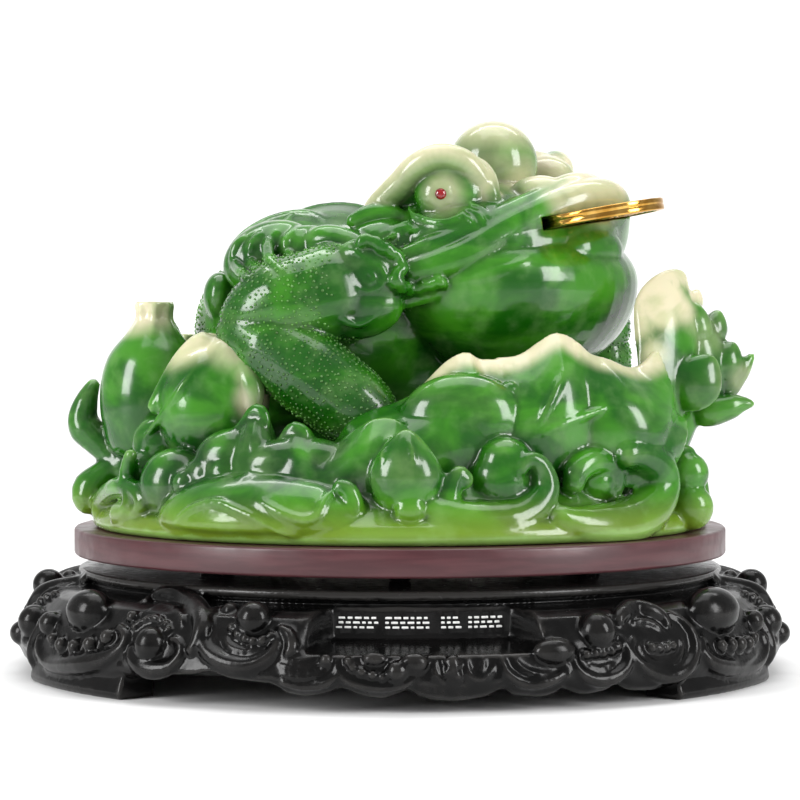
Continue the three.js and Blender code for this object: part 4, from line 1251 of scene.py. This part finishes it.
base_skin = skin_of(carving, voxel=1.05, softness=1, limit=195000)
# Raised carving painted lighter grey than the hollows: a painted highlight on the black lacquer.
relief, _ = shallow_and_deep(base_skin, 12)
glint_share = np.clip(0.5 + relief * 0.6, 0, 1)
raised_glint = base_skin.color_attributes.new("raised_glint", "FLOAT_COLOR", "POINT")
raised_glint.data.foreach_set("color", np.stack([glint_share, glint_share, glint_share, np.ones(len(glint_share))], axis=1).astype(np.float32).ravel())

lacquer, nodes, links, shader = new_finish("black_lacquer")
black = mottled(nodes, links, clouds(nodes, links, 60, 3), 0.4, 0.7, (6, 6, 6), (14, 13, 13))
glinted = spread(nodes, links, held_in(nodes, links, "raised_glint")["Red"], 0.62, 0.95, 0, 0.35)
links.new(mixed(nodes, links, glinted, black, srgb(70, 68, 66)), shader.inputs["Base Color"])
links.new(spread(nodes, links, clouds(nodes, links, 180, 3), 0.3, 0.75, 0.16, 0.28), shader.inputs["Roughness"])
shader.inputs["Specular IOR Level"].default_value = 0.22
uneven(nodes, links, shader, clouds(nodes, links, 420, 3), strength=0.12, distance=0.0004)
base_skin.shade_smooth()
finished(base_skin, "carved_plinth", "stand", "carved_base", lacquer)


# The strokes: three rows of short white dashes of uneven length, brushed in thick paint on the smooth panel at the
# front of the base. They bend with the panel and stand a hair's breadth proud of it.
PANEL_RADIUS = 155.5
BEND_RADIUS = 156
DASH_GAP = 1.0
SHORTEST_DASH = 1.4
strokes = bmesh.new()
stroke_dice = random.Random(3)
for height in (34.2, 36.3, 38.4):
    for first, last in ((-31, -9.5), (-6.5, 14.5), (18, 27), (30, 45)):
        x = first
        while x < last - SHORTEST_DASH:
            width = min(stroke_dice.choice((1.6, 2.2, 3.0)), last - x)
            middle = x + width / 2
            place = Matrix.Translation((middle, -math.sqrt(PANEL_RADIUS**2 - x * x) + 0.25, height))
            place = place @ Matrix.Rotation(middle / BEND_RADIUS, 4, "Z") @ Matrix.Diagonal((width, 1.1, 1.0, 1))
            bmesh.ops.create_cube(strokes, size=1, matrix=place)
            x += width + DASH_GAP
bmesh.ops.bevel(strokes, geom=strokes.edges[:], offset=0.2, affect="EDGES", segments=1, profile=0.5, material=-1)
stroke_mesh = bpy.data.meshes.new("painted_strokes")
strokes.to_mesh(stroke_mesh)
strokes.free()
paint, nodes, links, shader = new_finish("white_paint")
white = mottled(nodes, links, clouds(nodes, links, 600, 2), 0.4, 0.7, (244, 244, 242), (226, 226, 224))
links.new(white, shader.inputs["Base Color"])
shader.inputs["Roughness"].default_value = 0.45
finished(stroke_mesh, "painted_strokes", "stand", None, paint)


# The board: a round of dense fibreboard with eased edges under smooth maroon lacquer. The upper race is screwed
# under it and the figure is glued on it.
def turned_piece(section, steps):
    """A lathe-turned mesh with sharp corners kept by its section and its normals outwards."""
    shape = bmesh.new()
    verts = [shape.verts.new((r, 0, h)) for r, h in section]
    closed = section[0][0] > 0
    edges = [shape.edges.new(pair) for pair in zip(verts, verts[1:])]
    if closed:
        edges.append(shape.edges.new((verts[-1], verts[0])))
    bmesh.ops.spin(
        shape, geom=verts + edges, axis=(0, 0, 1), cent=(0, 0, 0), angle=math.tau, steps=steps, use_merge=True,
    )
    bmesh.ops.remove_doubles(shape, verts=shape.verts, dist=0.0005)
    bmesh.ops.recalc_face_normals(shape, faces=shape.faces)
    for face in shape.faces:
        face.smooth = abs(face.normal.z) < 0.999
    for edge in shape.edges:
        if len(edge.link_faces) == 2:
            edge.smooth = edge.calc_face_angle(0) < math.radians(32)
    mesh = bpy.data.meshes.new("turned")
    shape.to_mesh(mesh)
    shape.free()
    return mesh


low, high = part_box("turntable_board")
bottom, top, rim = low.z / MM, high.z / MM, high.x / MM
maroon, nodes, links, shader = new_finish("maroon_lacquer")
grain = clouds(nodes, links, 30, 5, stretch=(1, 1, 9), distortion=0.3)
links.new(mottled(nodes, links, grain, 0.35, 0.7, (70, 36, 40), (84, 46, 50)), shader.inputs["Base Color"])
links.new(spread(nodes, links, clouds(nodes, links, 90, 3), 0.3, 0.7, 0.3, 0.44), shader.inputs["Roughness"])
uneven(nodes, links, shader, clouds(nodes, links, 260, 4, (1, 1, 4)), strength=0.1, distance=0.0003)
section = [
    (0, bottom), (rim - 1.5, bottom), (rim - 0.75, bottom + 0.2), (rim - 0.2, bottom + 0.75), (rim, bottom + 1.5),
    (rim, top - 1.5), (rim - 0.2, top - 0.75), (rim - 0.75, top - 0.2), (rim - 1.5, top), (0, top),
]
finished(turned_piece(section, 200), "turntable_board_lacquered", "turntable", "turntable_board", maroon)


# The turntable's bearing: two pressed steel rings with a rolled lip each that run face to face. One is screwed to
# the top of the base and the other under the board.
RING_WIDTH = 20
steel, nodes, links, shader = new_finish("pressed_steel")
shader.inputs["Metallic"].default_value = 1.0
bare_steel = mottled(nodes, links, clouds(nodes, links, 120, 3), 0.35, 0.7, (176, 172, 164), (196, 192, 186))
links.new(bare_steel, shader.inputs["Base Color"])
links.new(spread(nodes, links, clouds(nodes, links, 300, 3), 0.3, 0.7, 0.26, 0.42), shader.inputs["Roughness"])
for node, body in (("bearing_lower_race", "stand"), ("bearing_upper_race", "turntable")):
    low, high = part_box(node)
    bottom, top, outer = low.z / MM, high.z / MM, high.x / MM
    inner = outer - RING_WIDTH
    section = [
        (inner, bottom + 0.4), (inner + 0.4, bottom), (outer - 0.4, bottom), (outer, bottom + 0.4), (outer, top - 0.4),
        (outer - 0.4, top), (outer - 6, top), (outer - 7, top - 0.5), (inner + 7, top - 0.5), (inner + 6, top),
        (inner + 0.4, top), (inner, top - 0.4),
    ]
    if node == "bearing_upper_race":
        section = [(r, bottom + top - h) for r, h in section]
    finished(turned_piece(section, 120), node.replace("race", "ring"), body, node, steel)


# The glide pads: six round pads of dark rubber with an eased upper edge. They are glued in a ring on the top of the
# base, and the edge of the board slides on them.
rubber, nodes, links, shader = new_finish("dark_rubber")
black = mottled(nodes, links, clouds(nodes, links, 260, 3), 0.3, 0.7, (24, 24, 24), (40, 39, 38))
links.new(black, shader.inputs["Base Color"])
shader.inputs["Roughness"].default_value = 0.7
for i in range(1, 7):
    node = "glide_pad_" + str(i)
    low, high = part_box(node)
    bottom, top, radius = low.z / MM, high.z / MM, (high.x - low.x) / 2 / MM
    section = [
        (0, bottom), (radius - 0.5, bottom), (radius, bottom + 0.5), (radius, top - 0.9), (radius - 0.9, top),
        (0, top),
    ]
    pad = turned_piece(section, 32)
    pad.transform(Matrix.Translation(((low.x + high.x) / 2 / MM, (low.y + high.y) / 2 / MM, 0)))
    finished(pad, node + "_rubber", "stand", node, rubber)
